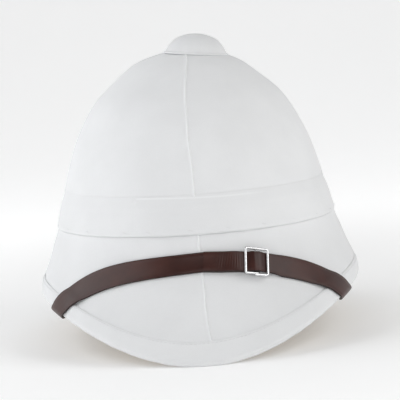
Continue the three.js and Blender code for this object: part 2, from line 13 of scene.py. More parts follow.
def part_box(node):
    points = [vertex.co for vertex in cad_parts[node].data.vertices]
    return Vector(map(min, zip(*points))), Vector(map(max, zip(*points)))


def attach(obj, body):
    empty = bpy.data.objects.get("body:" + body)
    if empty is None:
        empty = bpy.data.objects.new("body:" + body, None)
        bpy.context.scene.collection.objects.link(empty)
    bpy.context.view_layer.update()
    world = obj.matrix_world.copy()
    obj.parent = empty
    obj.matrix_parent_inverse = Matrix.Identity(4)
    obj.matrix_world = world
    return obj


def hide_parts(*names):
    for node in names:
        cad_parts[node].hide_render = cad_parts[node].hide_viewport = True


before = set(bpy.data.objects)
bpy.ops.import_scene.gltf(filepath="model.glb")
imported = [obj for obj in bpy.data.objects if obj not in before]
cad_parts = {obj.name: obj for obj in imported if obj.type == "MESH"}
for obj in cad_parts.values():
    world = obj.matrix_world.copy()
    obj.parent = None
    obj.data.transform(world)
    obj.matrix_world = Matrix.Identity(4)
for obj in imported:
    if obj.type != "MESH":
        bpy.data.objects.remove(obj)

bl_info = {
    "name": "Pith helmet",
    "version": (1, 0, 0),
    "blender": (4, 5, 0),
    "location": "3D View > Sidebar > Pith helmet",
    "description": "Makes a cloth covered pith helmet with its puggaree, ventilator, chin strap and buckle",
    "category": "Object",
}

# Crown and brim, on the outer face of the cloth, as in the part
CROWN_HALF_WIDTH = 0.1124
CROWN_FRONT_REACH = 0.123
CROWN_REAR_REACH = 0.127
CROWN_HEIGHT = 0.1386
BRIM_HALF_WIDTH = 0.1284
BRIM_FRONT_REACH = 0.173
BRIM_REAR_REACH = 0.185
BRIM_FALL = 0.0468
BRIM_DROOP = 0.038
BRIM_DROOP_POWER = 2.85

# Walls and the clearance between pieces
SHELL_WALL = 0.0034
CLOTH_THICKNESS = 0.001
CLEARANCE = 0.0003
COVER_DEPTH = CLOTH_THICKNESS + CLEARANCE
SKIN_TO_LINING = COVER_DEPTH + SHELL_WALL
BINDING_LIFT = CLEARANCE + CLOTH_THICKNESS

# Strip round the edge
BINDING_SIDE_WIDTH = 0.0105
BINDING_FRONT_WIDTH = 0.015
BINDING_INSIDE_WIDTH = 0.011
BINDING_TURN_STEPS = 5

# Band round the crown
PUGGAREE_FOOT = 0.0016
PUGGAREE_HEIGHT = 0.030
PUGGAREE_THICKNESS = 0.002
PUGGAREE_CLEARANCE = 0.0005

# Ventilator
CAP_RADIUS = 0.0263
CAP_HEIGHT = 0.0167
CAP_WALL = 0.002
CAP_OFFSET = 0.009
CAP_LEAN = math.radians(6.3)
VENT_HOLE_RADIUS = 0.012
VENT_POST_RADIUS = 0.005
VENT_PLATE_RADIUS = 0.017
VENT_PLATE_THICKNESS = 0.002

# Chin strap
STRAP_WIDTH = 0.016
STRAP_THICKNESS = 0.0014
STRAP_TURNED_THICKNESS = 0.001
STRAP_SEAT = 0.00065
STRAP_RAMP = 0.012
STRAP_FRONT_HEIGHT = 0.0792
STRAP_LEFT_WRAP_ANGLE = 58.5
STRAP_RIGHT_WRAP_ANGLE = 57.6
STRAP_LEFT_RISE = 0.0012
STRAP_RIGHT_SAG = 0.0049
STRAP_INSIDE_LENGTH = 0.046
STRAP_END_PAST_STUD = 0.008
STRAP_TAIL_LENGTH = 0.0302

# Buckle
BUCKLE_PLACE = 0.0417
BUCKLE_LENGTH = 0.0196
BUCKLE_HEIGHT = 0.0227
BUCKLE_WIRE_WIDTH = 0.0021
BUCKLE_WIRE_THICKNESS = 0.0018
BUCKLE_BAR_WIDTH = 0.0024
BUCKLE_BAR_THICKNESS = 0.0014
BUCKLE_TURN = math.radians(2.5)
FLAT_REACH = 0.0118
FLAT_FADE = 0.014

# Studs
STUD_HEAD_RADIUS = 0.005
STUD_HEAD_THICKNESS = 0.0015
STUD_STEM_RADIUS = 0.0018
STUD_DEPTH = 0.002

# Camera: where the photo was taken from, and how wide its picture is at the helmet
CAMERA_DISTANCE = 1.5
CAMERA_ELEVATION = math.radians(6)
CAMERA_ROLL = math.radians(-4)
PICTURE_WIDTH = 0.328
CAMERA_TARGET = (0.0041, -0.0061, 0.1044)
SENSOR_WIDTH = 0.036

# The floor's painted glow is dimmer round the helmet than farther out, as a painted soft shadow
FLOOR_PAINTED_SHADOW_REACH = 0.22
FLOOR_FULL_GLOW_FROM = 0.9

CrownRow = namedtuple("CrownRow", "height width")
BrimRow = namedtuple("BrimRow", "fall side peak")
SeamRow = namedtuple("SeamRow", "way turn")
CapRow = namedtuple("CapRow", "radius height")
LiftRow = namedtuple("LiftRow", "away lift")

# Sections of the crown from its top to its foot, as shares of its height and half width
CROWN_ROWS = (
    CrownRow(1.0, 0.0),
    CrownRow(0.975, 0.2),
    CrownRow(0.925, 0.375),
    CrownRow(0.835, 0.52),
    CrownRow(0.71, 0.68),
    CrownRow(0.52, 0.813),
    CrownRow(0.33, 0.898),
    CrownRow(0.16, 0.951),
    CrownRow(0.0, 1.0),
)

# Sections of the brim from the crown's foot to its edge, as shares of its fall and its spread
BRIM_ROWS = (
    BrimRow(0.25, 0.27, 0.15),
    BrimRow(0.5, 0.53, 0.41),
    BrimRow(0.75, 0.84, 0.7),
    BrimRow(0.88, 0.96, 0.87),
    BrimRow(1.0, 1.0, 1.0),
)

# How the front seam wanders sideways: shares of the way down, and degrees
SEAM_WANDER = (
    SeamRow(0.0, 5.0),
    SeamRow(0.3, -0.85),
    SeamRow(0.36, -0.95),
    SeamRow(0.46, 0.15),
    SeamRow(0.62, 0.75),
    SeamRow(0.76, 1.5),
    SeamRow(1.0, 3.2),
)

# Outline of the ventilator cap from its hem to its top, as shares of its radius and height
CAP_ROWS = (
    CapRow(1.0, 0.0),
    CapRow(0.955, 0.09),
    CapRow(0.9, 0.25),
    CapRow(0.82, 0.46),
    CapRow(0.66, 0.71),
    CapRow(0.48, 0.86),
    CapRow(0.25, 0.965),
    CapRow(0.0, 1.0),
)

# The turned edge of a cloth panel that laps over its neighbour: distance from the edge, and lift
SEAM_RIDGE = (
    LiftRow(0.0, 0.00022),
    LiftRow(0.00025, 0.0005),
    LiftRow(0.0006, 0.00068),
    LiftRow(0.001, 0.0007),
    LiftRow(0.0015, 0.00052),
    LiftRow(0.0021, 0.0003),
    LiftRow(0.003, 0.00016),
    LiftRow(0.006, 0.00008),
    LiftRow(0.009, 0.0),
)

# How much lighter the cloth's colour is painted along a seam's crest, a painted highlight as in the photo,
# and how far from the edge it stays so
PAINTED_HIGHLIGHT_WHITE = 1.07
PAINTED_HIGHLIGHT_WIDTH = 0.0008

# Size and seed of the cloth's soft lumps, which the band over it follows
CLOTH_LUMP = 0.055
CLOTH_SEED = 3

LAST_SECTION = len(CROWN_ROWS) + len(BRIM_ROWS) - 1
LEAST_PLACE = 0.02
SLOPE_STEP = 0.001
WALK_STEP = 0.1
HALVINGS = 36


def lerp(start, end, share):
    return start + (end - start) * share


def smooth_step(value, low, high):
    share = np.clip((value - low) / (high - low), 0.0, 1.0)
    return share * share * (3 - 2 * share)


def plateau(value, rises, full, falls, ends):
    """Goes smoothly from 0 up to 1, stays there and goes down to 0 again."""
    return smooth_step(value, rises, full) * (1 - smooth_step(value, falls, ends))


def bell(value, middle, reach):
    return np.exp(-(((value - middle) / reach) ** 2))


def even_arrays(*values):
    """The values as arrays of numbers with one shape."""
    return np.broadcast_arrays(*(np.asarray(value, float) for value in values))


def lengths_along(points):
    """How far along a line each of its points is."""
    return np.concatenate([[0], np.cumsum(np.linalg.norm(np.diff(points, axis=0), axis=1))])


def lengths_round(points):
    """The same for a closed line, with its whole length last."""
    lengths = lengths_along(points)
    return np.append(lengths, lengths[-1] + np.linalg.norm(points[0] - points[-1]))


def angles_round(count):
    """Even angles once round the helmet."""
    return np.linspace(-math.pi, math.pi, count, endpoint=False)


def there_and_back(values):
    """Values along a strip's outer face, back along its inner one, and the first one again."""
    return np.concatenate([values, values[::-1], values[:1]])


def crown_section(row):
    width = CROWN_HALF_WIDTH * row.width
    front = width + (CROWN_FRONT_REACH - CROWN_HALF_WIDTH) * row.width ** 2
    rear = width + (CROWN_REAR_REACH - CROWN_HALF_WIDTH) * row.width ** 2
    return (CROWN_HEIGHT * row.height, width, front, rear, 0.0)


def brim_section(row):
    return (
        -BRIM_FALL * row.fall,
        lerp(CROWN_HALF_WIDTH, BRIM_HALF_WIDTH, row.side),
        lerp(CROWN_FRONT_REACH, BRIM_FRONT_REACH, row.peak),
        lerp(CROWN_REAR_REACH, BRIM_REAR_REACH, row.peak),
        BRIM_DROOP * row.fall,
    )


def section_table():
    """The sections, with a mirrored row before the first and a row that carries on after the last."""
    rows = [crown_section(row) for row in CROWN_ROWS] + [brim_section(row) for row in BRIM_ROWS]
    rows = np.array(rows)
    mirror = rows[1] * np.array([1, -1, -1, -1, 1])
    return np.vstack([mirror, rows, 2 * rows[-1] - rows[-2]])


HEIGHT, SIDE, FRONT, REAR, DROOP = range(5)
SECTIONS = section_table()
SHIFT = np.zeros(3)


def section_value(place, column):
    row = np.clip(np.floor(place).astype(int), 0, LAST_SECTION - 1)
    share = place - row
    before, start, end, after = (SECTIONS[row + step, column] for step in range(4))
    slope_in = (end - before) / 2
    slope_out = (after - start) / 2
    rise = end - start
    bend = (1 - share) * (slope_in - rise) - share * (slope_out - rise)
    return lerp(start, end, share) + share * (1 - share) * bend


def wander_at(way):
    ways = [row.way for row in SEAM_WANDER]
    turns = [row.turn for row in SEAM_WANDER]
    index = np.clip(np.searchsorted(ways, np.clip(way, 0, 1), side="left"), 1, len(ways) - 1)
    low, high = np.array(ways)[index - 1], np.array(ways)[index]
    share = smooth_step(way, low, high)
    return np.radians(lerp(np.array(turns)[index - 1], np.array(turns)[index], share))


def skin_point(angle, place):
    """A point of the cloth's outer face. angle runs round from +X, and the front peak is at -90 degrees."""
    angle, place = even_arrays(angle, place)
    toward_front = np.maximum(0, -np.sin(angle))
    turned = angle + wander_at(place / LAST_SECTION) * toward_front ** 4
    across, along = np.cos(turned), np.sin(turned)
    reach = np.where(along < 0, section_value(place, FRONT), section_value(place, REAR))
    height = section_value(place, HEIGHT)
    height = height - section_value(place, DROOP) * np.abs(along) ** BRIM_DROOP_POWER
    return np.stack([section_value(place, SIDE) * across, reach * along, height], -1) + SHIFT


def unit(vectors):
    return vectors / np.maximum(np.linalg.norm(vectors, axis=-1, keepdims=True), 1e-12)


def skin_frame(angle, place):
    """Directions round the helmet, away from the cloth and down it."""
    at = np.maximum(place, LEAST_PLACE)
    around = unit(skin_point(angle + SLOPE_STEP, at) - skin_point(angle - SLOPE_STEP, at))
    fall = unit(skin_point(angle, at + SLOPE_STEP) - skin_point(angle, at - SLOPE_STEP))
    out = unit(np.cross(fall, around))
    down = unit(np.cross(around, out))
    return around, out, down


def skin(angle, place, lift):
    angle, place, lift = even_arrays(angle, place, lift)
    return skin_point(angle, place) + skin_frame(angle, place)[1] * lift[..., None]


def place_above(angle, distance):
    """The section at a distance up the cloth from the brim's edge."""
    angle, distance = even_arrays(angle, distance)
    shape = angle.shape
    angle, distance = angle.ravel(), distance.ravel()
    places = np.arange(LAST_SECTION, WALK_STEP, -WALK_STEP)
    turns, index = np.unique(angle, return_inverse=True)
    points = skin_point(turns[:, None], places[None, :])
    lengths = np.linalg.norm(np.diff(points, axis=1), axis=-1)
    gone = np.concatenate([np.zeros((len(turns), 1)), np.cumsum(lengths, axis=1)], axis=1)[index]
    step = np.clip((gone < distance[:, None]).sum(axis=1), 1, len(places) - 1)
    rows = np.arange(len(angle))
    low, high = gone[rows, step - 1], gone[rows, step]
    share = np.clip((distance - low) / (high - low), 0, 1)
    return (places[step - 1] - WALK_STEP * share).reshape(shape)


def place_at_height(angle, height):
    """The section where the cloth is at a height above the crown's foot."""
    above = np.zeros_like(angle)
    below = np.full_like(angle, LAST_SECTION)
    for _ in range(HALVINGS):
        middle = (above + below) / 2
        higher = skin_point(angle, middle)[..., 2] - SHIFT[2] > height
        above = np.where(higher, middle, above)
        below = np.where(higher, below, middle)
    return above


EDGE_RADIUS = SKIN_TO_LINING / 2
TURN_RADIUS = EDGE_RADIUS + BINDING_LIFT + STRAP_THICKNESS / 2
TURN_LENGTH = math.pi * TURN_RADIUS


def round_the_edge(angle, distance, lift):
    """A point near the brim's edge. Up the outside the distance is positive; below zero it goes round the
    edge and then up the inside. lift is the distance from the cloth, or from the shell's inner face."""
    angle, distance, lift = even_arrays(angle, distance, lift)
    up = np.where(distance >= 0, distance, np.maximum(-distance - TURN_LENGTH, 0))
    height = np.where(distance >= 0, lift, -SKIN_TO_LINING - lift)
    on_face = skin(angle, place_above(angle, up), height)
    _, out, down = skin_frame(angle, np.full(angle.shape, float(LAST_SECTION)))
    turned = np.clip(-distance / TURN_RADIUS, 0, math.pi)[..., None]
    middle = skin(angle, float(LAST_SECTION), -EDGE_RADIUS)
    radius = (EDGE_RADIUS + lift)[..., None]
    in_turn = middle + radius * (out * np.cos(turned) + down * np.sin(turned))
    turning = (distance < 0) & (distance > -TURN_LENGTH)
    return np.where(turning[..., None], in_turn, on_face)


def binding_width(angle):
    return lerp(BINDING_SIDE_WIDTH, BINDING_FRONT_WIDTH, np.sin(angle) ** 2)


def find_shift():
    """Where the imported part's frame has the crown's foot and axis, from the box of its edge binding."""
    low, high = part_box("edge_binding")
    turn = -np.arange(BINDING_TURN_STEPS + 1) / BINDING_TURN_STEPS * TURN_LENGTH
    front = round_the_edge(-math.pi / 2, turn, BINDING_LIFT)[:, 1].min()
    rear = round_the_edge(math.pi / 2, turn, BINDING_LIFT)[:, 1].max()
    top = round_the_edge(0.0, binding_width(0.0), BINDING_LIFT)[2]
    return np.array([0.0, (low.y + high.y) / 2 - (front + rear) / 2, high.z - top])


SHIFT = find_shift()


# Chin strap: its middle line by distance from the front seam, positive to the viewer's right

PATH_STEP = 0.5
PATH_SPAN = 0.001
HALF_DEGREE = 0.5


def strap_height(turn):
    share = np.abs(turn) / np.where(turn > 0, STRAP_RIGHT_WRAP_ANGLE, STRAP_LEFT_WRAP_ANGLE)
    sag = np.where(turn > 0, STRAP_RIGHT_SAG, -STRAP_LEFT_RISE)
    arch = STRAP_FRONT_HEIGHT * (1 - share ** 2) - sag * np.sin(math.pi * share)
    fall = -(2 * STRAP_FRONT_HEIGHT - sag * math.pi) * (share - 1)
    return np.where(share <= 1, arch, fall)


def strap_angle(turn):
    return np.radians(turn - 90)


def strap_side(direction):
    """Lengths, turns and heights of the strap's middle line on one side."""
    inside_end = -TURN_LENGTH - STRAP_INSIDE_LENGTH - STRAP_END_PAST_STUD
    turns = np.arange(0, STRAP_LEFT_WRAP_ANGLE * 2, PATH_STEP) * direction
    heights = strap_height(turns)
    count = int((heights > inside_end).sum()) + 1
    turns, heights = turns[:count], heights[:count]
    lift = np.where(np.arange(count) == 0, STRAP_SEAT, STRAP_SEAT + BINDING_LIFT)
    points = round_the_edge(strap_angle(turns), heights, lift)
    return lengths_along(points), turns, heights


STRAP_RIGHT_LINE = strap_side(1)
STRAP_LEFT_LINE = strap_side(-1)


def strap_middle(distance):
    right = [np.interp(distance, STRAP_RIGHT_LINE[0], values) for values in STRAP_RIGHT_LINE[1:]]
    left = [np.interp(-distance, STRAP_LEFT_LINE[0], values) for values in STRAP_LEFT_LINE[1:]]
    return [np.where(distance >= 0, a, b) for a, b in zip(right, left)]


def length_at_height(line, height):
    return float(line[0][np.argmax(line[2] <= height)])


def strap_ground(angle, distance):
    edge = binding_width(angle)
    rise = 1 - smooth_step(distance, edge + STRAP_RAMP / 4, edge + STRAP_RAMP)
    return STRAP_SEAT + BINDING_LIFT * rise


def section_skew(height):
    past_edge = np.maximum(0, np.maximum(height, -height - TURN_LENGTH))
    return 1 - smooth_step(past_edge, STRAP_WIDTH / 4, STRAP_WIDTH * 1.5)


def strap_on_helmet(distance, lift, across):
    distance, lift, across = even_arrays(distance, lift, across)
    turn, height = strap_middle(distance)
    turn_before, height_before = strap_middle(distance - PATH_SPAN)
    turn_after, height_after = strap_middle(distance + PATH_SPAN)
    ahead = round_the_edge(strap_angle(turn + HALF_DEGREE), height, STRAP_SEAT)
    behind = round_the_edge(strap_angle(turn - HALF_DEGREE), height, STRAP_SEAT)
    per_degree = np.linalg.norm(ahead - behind, axis=-1)
    along = unit(np.stack([(turn_after - turn_before) * per_degree, height_after - height_before], -1))
    run, rise = along[..., 0], along[..., 1]
    skew = section_skew(height)
    safe_rise = np.where(np.abs(rise) > 1e-6, rise, 1e-6)
    slide = np.where(skew > 0, -skew * across * run / safe_rise, 0.0)
    angle = strap_angle(turn + (slide * run - across * rise) / per_degree)
    level = height + across * run + slide * rise
    return round_the_edge(angle, level, strap_ground(angle, level) + lift)


def frame_on_strap(distance):
    """X along the strap, Y across it and Z away from the cloth, with its origin on the strap's seat."""
    half = STRAP_WIDTH / 2

    def middle(place):
        return (strap_on_helmet(place, 0.0, half) + strap_on_helmet(place, 0.0, -half)) / 2

    along = unit(middle(distance + half) - middle(distance - half))
    across = unit(strap_on_helmet(distance, 0.0, half) - strap_on_helmet(distance, 0.0, -half))
    out = unit(np.cross(along, across))
    across = np.cross(out, along)
    return along, across, out, middle(distance)


BUCKLE_FRAME = frame_on_strap(BUCKLE_PLACE)


def placed(axes, x, y, z):
    """Points at x, y and z of a set of axes."""
    along, across, out, origin = axes
    x, y, z = even_arrays(x, y, z)
    return origin + x[..., None] * along + y[..., None] * across + z[..., None] * out


def strap_point(distance, lift, across):
    from_bar = np.abs(distance - BUCKLE_PLACE)
    held = (1 - smooth_step(from_bar, FLAT_REACH, FLAT_REACH + FLAT_FADE))[..., None]
    flat = placed(BUCKLE_FRAME, distance - BUCKLE_PLACE, across, lift)
    return lerp(strap_on_helmet(distance, lift, across), flat, held)


# Levels above the strap's seat, stacked from the cloth outwards
HOOK_UNDER = STRAP_TURNED_THICKNESS
BAR_LOW = HOOK_UNDER + CLEARANCE
BAR_HIGH = BAR_LOW + BUCKLE_BAR_THICKNESS
HOOK_LOW = BAR_HIGH + CLEARANCE
HOOK_HIGH = HOOK_LOW + STRAP_TURNED_THICKNESS
OVER_BAR = HOOK_HIGH + CLEARANCE
TAIL_LOW = STRAP_THICKNESS + 2 * CLEARANCE
FRAME_LOW = TAIL_LOW + STRAP_THICKNESS + CLEARANCE
FRAME_HIGH = FRAME_LOW + BUCKLE_WIRE_THICKNESS
FRAME_INNER_HALF = BUCKLE_LENGTH / 2 - BUCKLE_WIRE_WIDTH
HOOK_END = BUCKLE_BAR_WIDTH / 2 + CLEARANCE + STRAP_TURNED_THICKNESS

INSIDE_END = -TURN_LENGTH - STRAP_INSIDE_LENGTH
RIGHT_STUD = length_at_height(STRAP_RIGHT_LINE, INSIDE_END)
LEFT_STUD = -length_at_height(STRAP_LEFT_LINE, INSIDE_END)


# Meshes

def mesh_object(name, points, faces, material, corner_uvs=None, sharp_angle=50):
    """A smooth object at the origin. corner_uvs holds one pair for each corner of each face."""
    mesh = bpy.data.meshes.new(name)
    mesh.from_pydata(points.tolist(), [], faces)
    if corner_uvs is not None:
        layer = mesh.uv_layers.new(name="UVMap")
        layer.data.foreach_set("uv", np.asarray(corner_uvs, np.float32).ravel())
    mesh.validate(clean_customdata=False)
    mesh.polygons.foreach_set("use_smooth", [True] * len(mesh.polygons))
    mesh.set_sharp_from_angle(angle=math.radians(sharp_angle))
    mesh.materials.append(material)
    made = bpy.data.objects.new(name, mesh)
    bpy.context.scene.collection.objects.link(made)
    return made


def faces_volume(points, quads):
    a, b, c, d = (points[quads[:, i]] for i in range(4))
    return float((np.cross(b, c) * a).sum() + (np.cross(c, d) * a).sum()) / 6


def loft(name, loops, along, around, material, closed_path=False, sharp_angle=50):
    """Skins a row of closed loops. along and around are the pattern's coordinates, in metres, at each loop
    and at each point of it, with one value more where they close."""
    count, ring = loops.shape[:2]
    spans = count if closed_path else count - 1
    i, j = (v.ravel() for v in np.meshgrid(np.arange(spans), np.arange(ring), indexing="ij"))
    i_next, j_next = (i + 1) % count, (j + 1) % ring
    quads = np.stack([i * ring + j, i_next * ring + j, i_next * ring + j_next, i * ring + j_next], -1)
    shape = (spans + 1, ring + 1)
    along = np.broadcast_to(along if np.ndim(along) == 2 else np.asarray(along)[:, None], shape)
    around = np.broadcast_to(around, shape)
    corners = [(i, j), (i + 1, j), (i + 1, j + 1), (i, j + 1)]
    uvs = np.stack([np.stack([along[c], around[c]], -1) for c in corners], 1)
    points = loops.reshape(-1, 3)
    if not closed_path:
        half = ring // 2
        k = np.arange(half - 1)
        strip = np.stack([k, k + 1, ring - 2 - k, ring - 1 - k], -1)
        last = (count - 1) * ring
        quads = np.vstack([quads, strip, last + strip[:, ::-1]])
        uvs = np.concatenate([uvs, np.zeros((2 * len(strip), 4, 2))])
    if faces_volume(points, quads) < 0:
        quads, uvs = quads[:, ::-1], uvs[:, ::-1]
    return mesh_object(name, points, quads.tolist(), material, uvs.reshape(-1, 2), sharp_angle)


def lathe(name, profile, axes, material, sides, sharp_angle=40):
    """Turns a profile of radius and height, which starts and ends on the axis, round the axes' Z."""
    profile = np.asarray(profile, float)
    angles = np.arange(sides) / sides * 2 * math.pi
    inner = profile[1:-1]
    x = np.cos(angles)[:, None] * inner[None, :, 0]
    y = np.sin(angles)[:, None] * inner[None, :, 0]
    rings = placed(axes, x, y, np.broadcast_to(inner[:, 1], x.shape))
    ends = placed(axes, np.zeros(2), np.zeros(2), profile[[0, -1], 1])
    points = np.vstack([rings.reshape(-1, 3), ends])
    ring = len(inner)
    first, last = sides * ring, sides * ring + 1
    faces = []
    uvs = []
    lengths = lengths_along(profile)
    girth = 2 * math.pi * profile[:, 0].max() / sides
    for i in range(sides):
        n = (i + 1) % sides
        u, un = i * girth, (i + 1) * girth
        faces.append((first, i * ring, n * ring))
        uvs += [((u + un) / 2, lengths[0]), (u, lengths[1]), (un, lengths[1])]
        for j in range(ring - 1):
            faces.append((i * ring + j, i * ring + j + 1, n * ring + j + 1, n * ring + j))
            low, high = lengths[j + 1], lengths[j + 2]
            uvs += [(u, low), (u, high), (un, high), (un, low)]
        faces.append((last, n * ring + ring - 1, i * ring + ring - 1))
        uvs += [((u + un) / 2, lengths[-1]), (un, lengths[-2]), (u, lengths[-2])]
    made = mesh_object(name, points, faces, material, uvs, sharp_angle)
    turn_outwards(made)
    return made


def turn_outwards(made):
    """Turns every face over where the whole shape is inside out."""
    mesh = made.data
    mesh.calc_loop_triangles()
    points = np.array([v.co for v in mesh.vertices])
    triangles = np.array([t.vertices for t in mesh.loop_triangles])
    a, b, c = (points[triangles[:, i]] for i in range(3))
    if float((np.cross(b, c) * a).sum()) < 0:
        mesh.flip_normals()


def soft_lumps(points, size, seed):
    """A smooth uneven value between about -1 and 1 over space, with lumps of about one size."""
    rng = np.random.default_rng(seed)
    waves = rng.normal(size=(9, 3))
    waves /= np.linalg.norm(waves, axis=1, keepdims=True)
    waves *= rng.uniform(0.7, 1.5, size=(9, 1)) * 2 * math.pi / size
    phases = rng.uniform(0, 2 * math.pi, 9)
    return np.sin(points @ waves.T + phases).sum(axis=-1) / 4.5


def dress(made, slot, *nodes):
    """The piece rides on the helmet and stands for its solids."""
    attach(made, "root")
    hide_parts(*nodes)
    return made


def add_piece(made):
    """A small piece that stands for no solid."""
    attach(made, "root")
    return made


# Materials

def feed(tree, made, inputs):
    """Gives a node's inputs their values, or the sockets that feed them."""
    for key, value in inputs.items():
        if isinstance(value, bpy.types.NodeSocket):
            tree.links.new(value, made.inputs[key])
        else:
            made.inputs[key].default_value = value


def node(tree, kind, inputs=None, **settings):
    made = tree.nodes.new(kind)
    for key, value in settings.items():
        setattr(made, key, value)
    feed(tree, made, inputs or {})
    return made


def maths(tree, operation, a, b=0.0):
    return node(tree, "ShaderNodeMath", {0: a, 1: b}, operation=operation).outputs[0]


def times(tree, a, b):
    return maths(tree, "MULTIPLY", a, b)


def plus(tree, a, b):
    return maths(tree, "ADD", a, b)


def ramp(tree, value, low, high):
    made = node(tree, "ShaderNodeMapRange", {"Value": value, "From Min": low, "From Max": high})
    made.interpolation_type = "SMOOTHSTEP"
    return made.outputs["Result"]


def scaled(tree, value, low, high):
    """A value between 0 and 1 as one between low and high."""
    inputs = {"Value": value, "To Min": low, "To Max": high}
    return node(tree, "ShaderNodeMapRange", inputs).outputs["Result"]


def noise(tree, vector, scale, detail=2.0, roughness=0.5):
    inputs = {"Vector": vector, "Scale": scale, "Detail": detail, "Roughness": roughness}
    return node(tree, "ShaderNodeTexNoise", inputs).outputs["Fac"]


def cells(tree, vector, scale):
    return node(tree, "ShaderNodeTexVoronoi", {"Vector": vector, "Scale": scale}).outputs["Distance"]


def mix_colour(tree, share, first, second):
    made = node(tree, "ShaderNodeMix", data_type="RGBA")
    for name, value in (("Factor_Float", share), ("A_Color", first), ("B_Color", second)):
        socket = next(s for s in made.inputs if s.identifier == name)
        if isinstance(value, bpy.types.NodeSocket):
            tree.links.new(value, socket)
        else:
            socket.default_value = value
    return next(s for s in made.outputs if s.identifier == "Result_Color")


def new_finish(name):
    """A material with only a shader and its output, and the socket of a point's place on the helmet."""
    finish = bpy.data.materials.new(name)
    finish.use_nodes = True
    tree = finish.node_tree
    tree.nodes.clear()
    shader = tree.nodes.new("ShaderNodeBsdfPrincipled")
    node(tree, "ShaderNodeOutputMaterial", {"Surface": shader.outputs["BSDF"]})
    spot = node(tree, "ShaderNodeTexCoord").outputs["Object"]
    return finish, tree, shader, spot


def pattern_axes(tree, turned=0.0):
    """The two coordinates of a piece's pattern, turned by an angle."""
    uv = node(tree, "ShaderNodeUVMap", uv_map="UVMap").outputs["UV"]
    turn = node(tree, "ShaderNodeMapping", {"Vector": uv, "Rotation": (0, 0, turned)}).outputs["Vector"]
    return node(tree, "ShaderNodeSeparateXYZ", {"Vector": turn}).outputs


def stretched(tree, spot, upwards):
    """A point's place with its height scaled."""
    return node(tree, "ShaderNodeMapping", {"Vector": spot, "Scale": (1.0, 1.0, upwards)}).outputs["Vector"]


def bump(tree, height, strength, distance, under=None):
    inputs = {"Height": height, "Strength": strength, "Distance": distance}
    if under is not None:
        inputs["Normal"] = under
    return node(tree, "ShaderNodeBump", inputs).outputs["Normal"]


def shade(colour, factor):
    return (colour[0] * factor, colour[1] * factor, colour[2] * factor, 1.0)


def cloth_finish(name, colour, pitch, weave, turned=0.0):
    """Woven cotton, with painted shade between its threads and a painted highlight where a point is marked.
    weave is plain or drill, and turned lays it on the bias.
    """
    finish, tree, shader, spot = new_finish(name)
    axes = pattern_axes(tree, turned)
    wave = 2 * math.pi / pitch
    drift = times(tree, noise(tree, spot, 260.0, 1.0), 2.4)
    warp_phase = plus(tree, times(tree, axes["X"], wave), drift)
    weft_phase = plus(tree, times(tree, axes["Y"], wave), drift)
    if weave == "drill":
        rib = maths(tree, "SINE", plus(tree, warp_phase, weft_phase))
        float_over = maths(tree, "SINE", times(tree, weft_phase, 2.0))
        threads = plus(tree, times(tree, rib, 0.7), times(tree, float_over, 0.3))
    else:
        threads = times(tree, maths(tree, "SINE", warp_phase), maths(tree, "SINE", weft_phase))
    slubs = noise(tree, spot, 900.0, 2.0, 0.6)
    patches = noise(tree, spot, 21.0, 3.0, 0.55)
    tone = ramp(tree, plus(tree, times(tree, patches, 0.75), times(tree, slubs, 0.25)), 0.3, 0.7)
    body = mix_colour(tree, tone, shade(colour, 0.965), shade(colour, 1.015))
    # Painted highlight: the colour is lightened where a point is marked, along seam crests and the band's
    # turned edge
    crest = node(tree, "ShaderNodeAttribute", attribute_name="crest").outputs["Fac"]
    body = mix_colour(tree, crest, body, shade(colour, PAINTED_HIGHLIGHT_WHITE))
    # Painted shade: the colour is darkened in the valleys between the threads
    painted_valley_shade = times(tree, ramp(tree, threads, 0.2, -0.9), 0.1)
    lumps = bump(tree, noise(tree, spot, 75.0, 3.0, 0.5), 0.12, 0.0012)
    fibres = bump(tree, slubs, 0.15, 0.00025, lumps)
    feed(tree, shader, {
        "Base Color": mix_colour(tree, painted_valley_shade, body, shade(colour, 0.72)),
        "Roughness": scaled(tree, slubs, 0.82, 0.95),
        "Normal": bump(tree, threads, 0.22, 0.00018, fibres),
        "Specular IOR Level": 0.25,
        "Sheen Weight": 0.12,
        "Sheen Roughness": 0.5,
    })
    return finish


def leather_finish(name, colour):
    """Smooth strap leather with darkened edges, darker pores and fine grain."""
    finish, tree, shader, spot = new_finish(name)
    from_middle = maths(tree, "ABSOLUTE", pattern_axes(tree)["Y"])
    edge = ramp(tree, from_middle, STRAP_WIDTH * 0.445, STRAP_WIDTH * 0.5)
    pores = noise(tree, spot, 2600.0, 3.0, 0.6)
    clouds = noise(tree, spot, 38.0, 4.0, 0.6)
    body = mix_colour(tree, ramp(tree, clouds, 0.32, 0.68), shade(colour, 0.78), shade(colour, 1.22))
    dots = times(tree, ramp(tree, pores, 0.55, 0.75), 0.35)
    body = mix_colour(tree, dots, body, shade(colour, 0.5))
    grain = bump(tree, cells(tree, spot, 1500.0), 0.18, 0.00012)
    feed(tree, shader, {
        "Base Color": mix_colour(tree, times(tree, edge, 0.8), body, shade(colour, 0.28)),
        "Roughness": scaled(tree, clouds, 0.3, 0.42),
        "Normal": bump(tree, pores, 0.12, 0.00006, grain),
        "Specular IOR Level": 0.36,
        "Coat Weight": 0.03,
        "Coat Roughness": 0.3,
    })
    return finish


def metal_finish(name, colour, roughness, scratch_scale):
    """Bare metal with fine scratches and duller spots."""
    finish, tree, shader, spot = new_finish(name)
    scratches = noise(tree, stretched(tree, spot, 0.15), scratch_scale, 3.0, 0.65)
    spots = ramp(tree, noise(tree, spot, 420.0, 2.0, 0.5), 0.35, 0.7)
    feed(tree, shader, {
        "Base Color": mix_colour(tree, spots, shade(colour, 0.88), shade(colour, 1.04)),
        "Roughness": scaled(tree, scratches, roughness * 0.7, roughness * 1.5),
        "Normal": bump(tree, scratches, 0.08, 0.00005),
        "Metallic": 1.0,
    })
    return finish


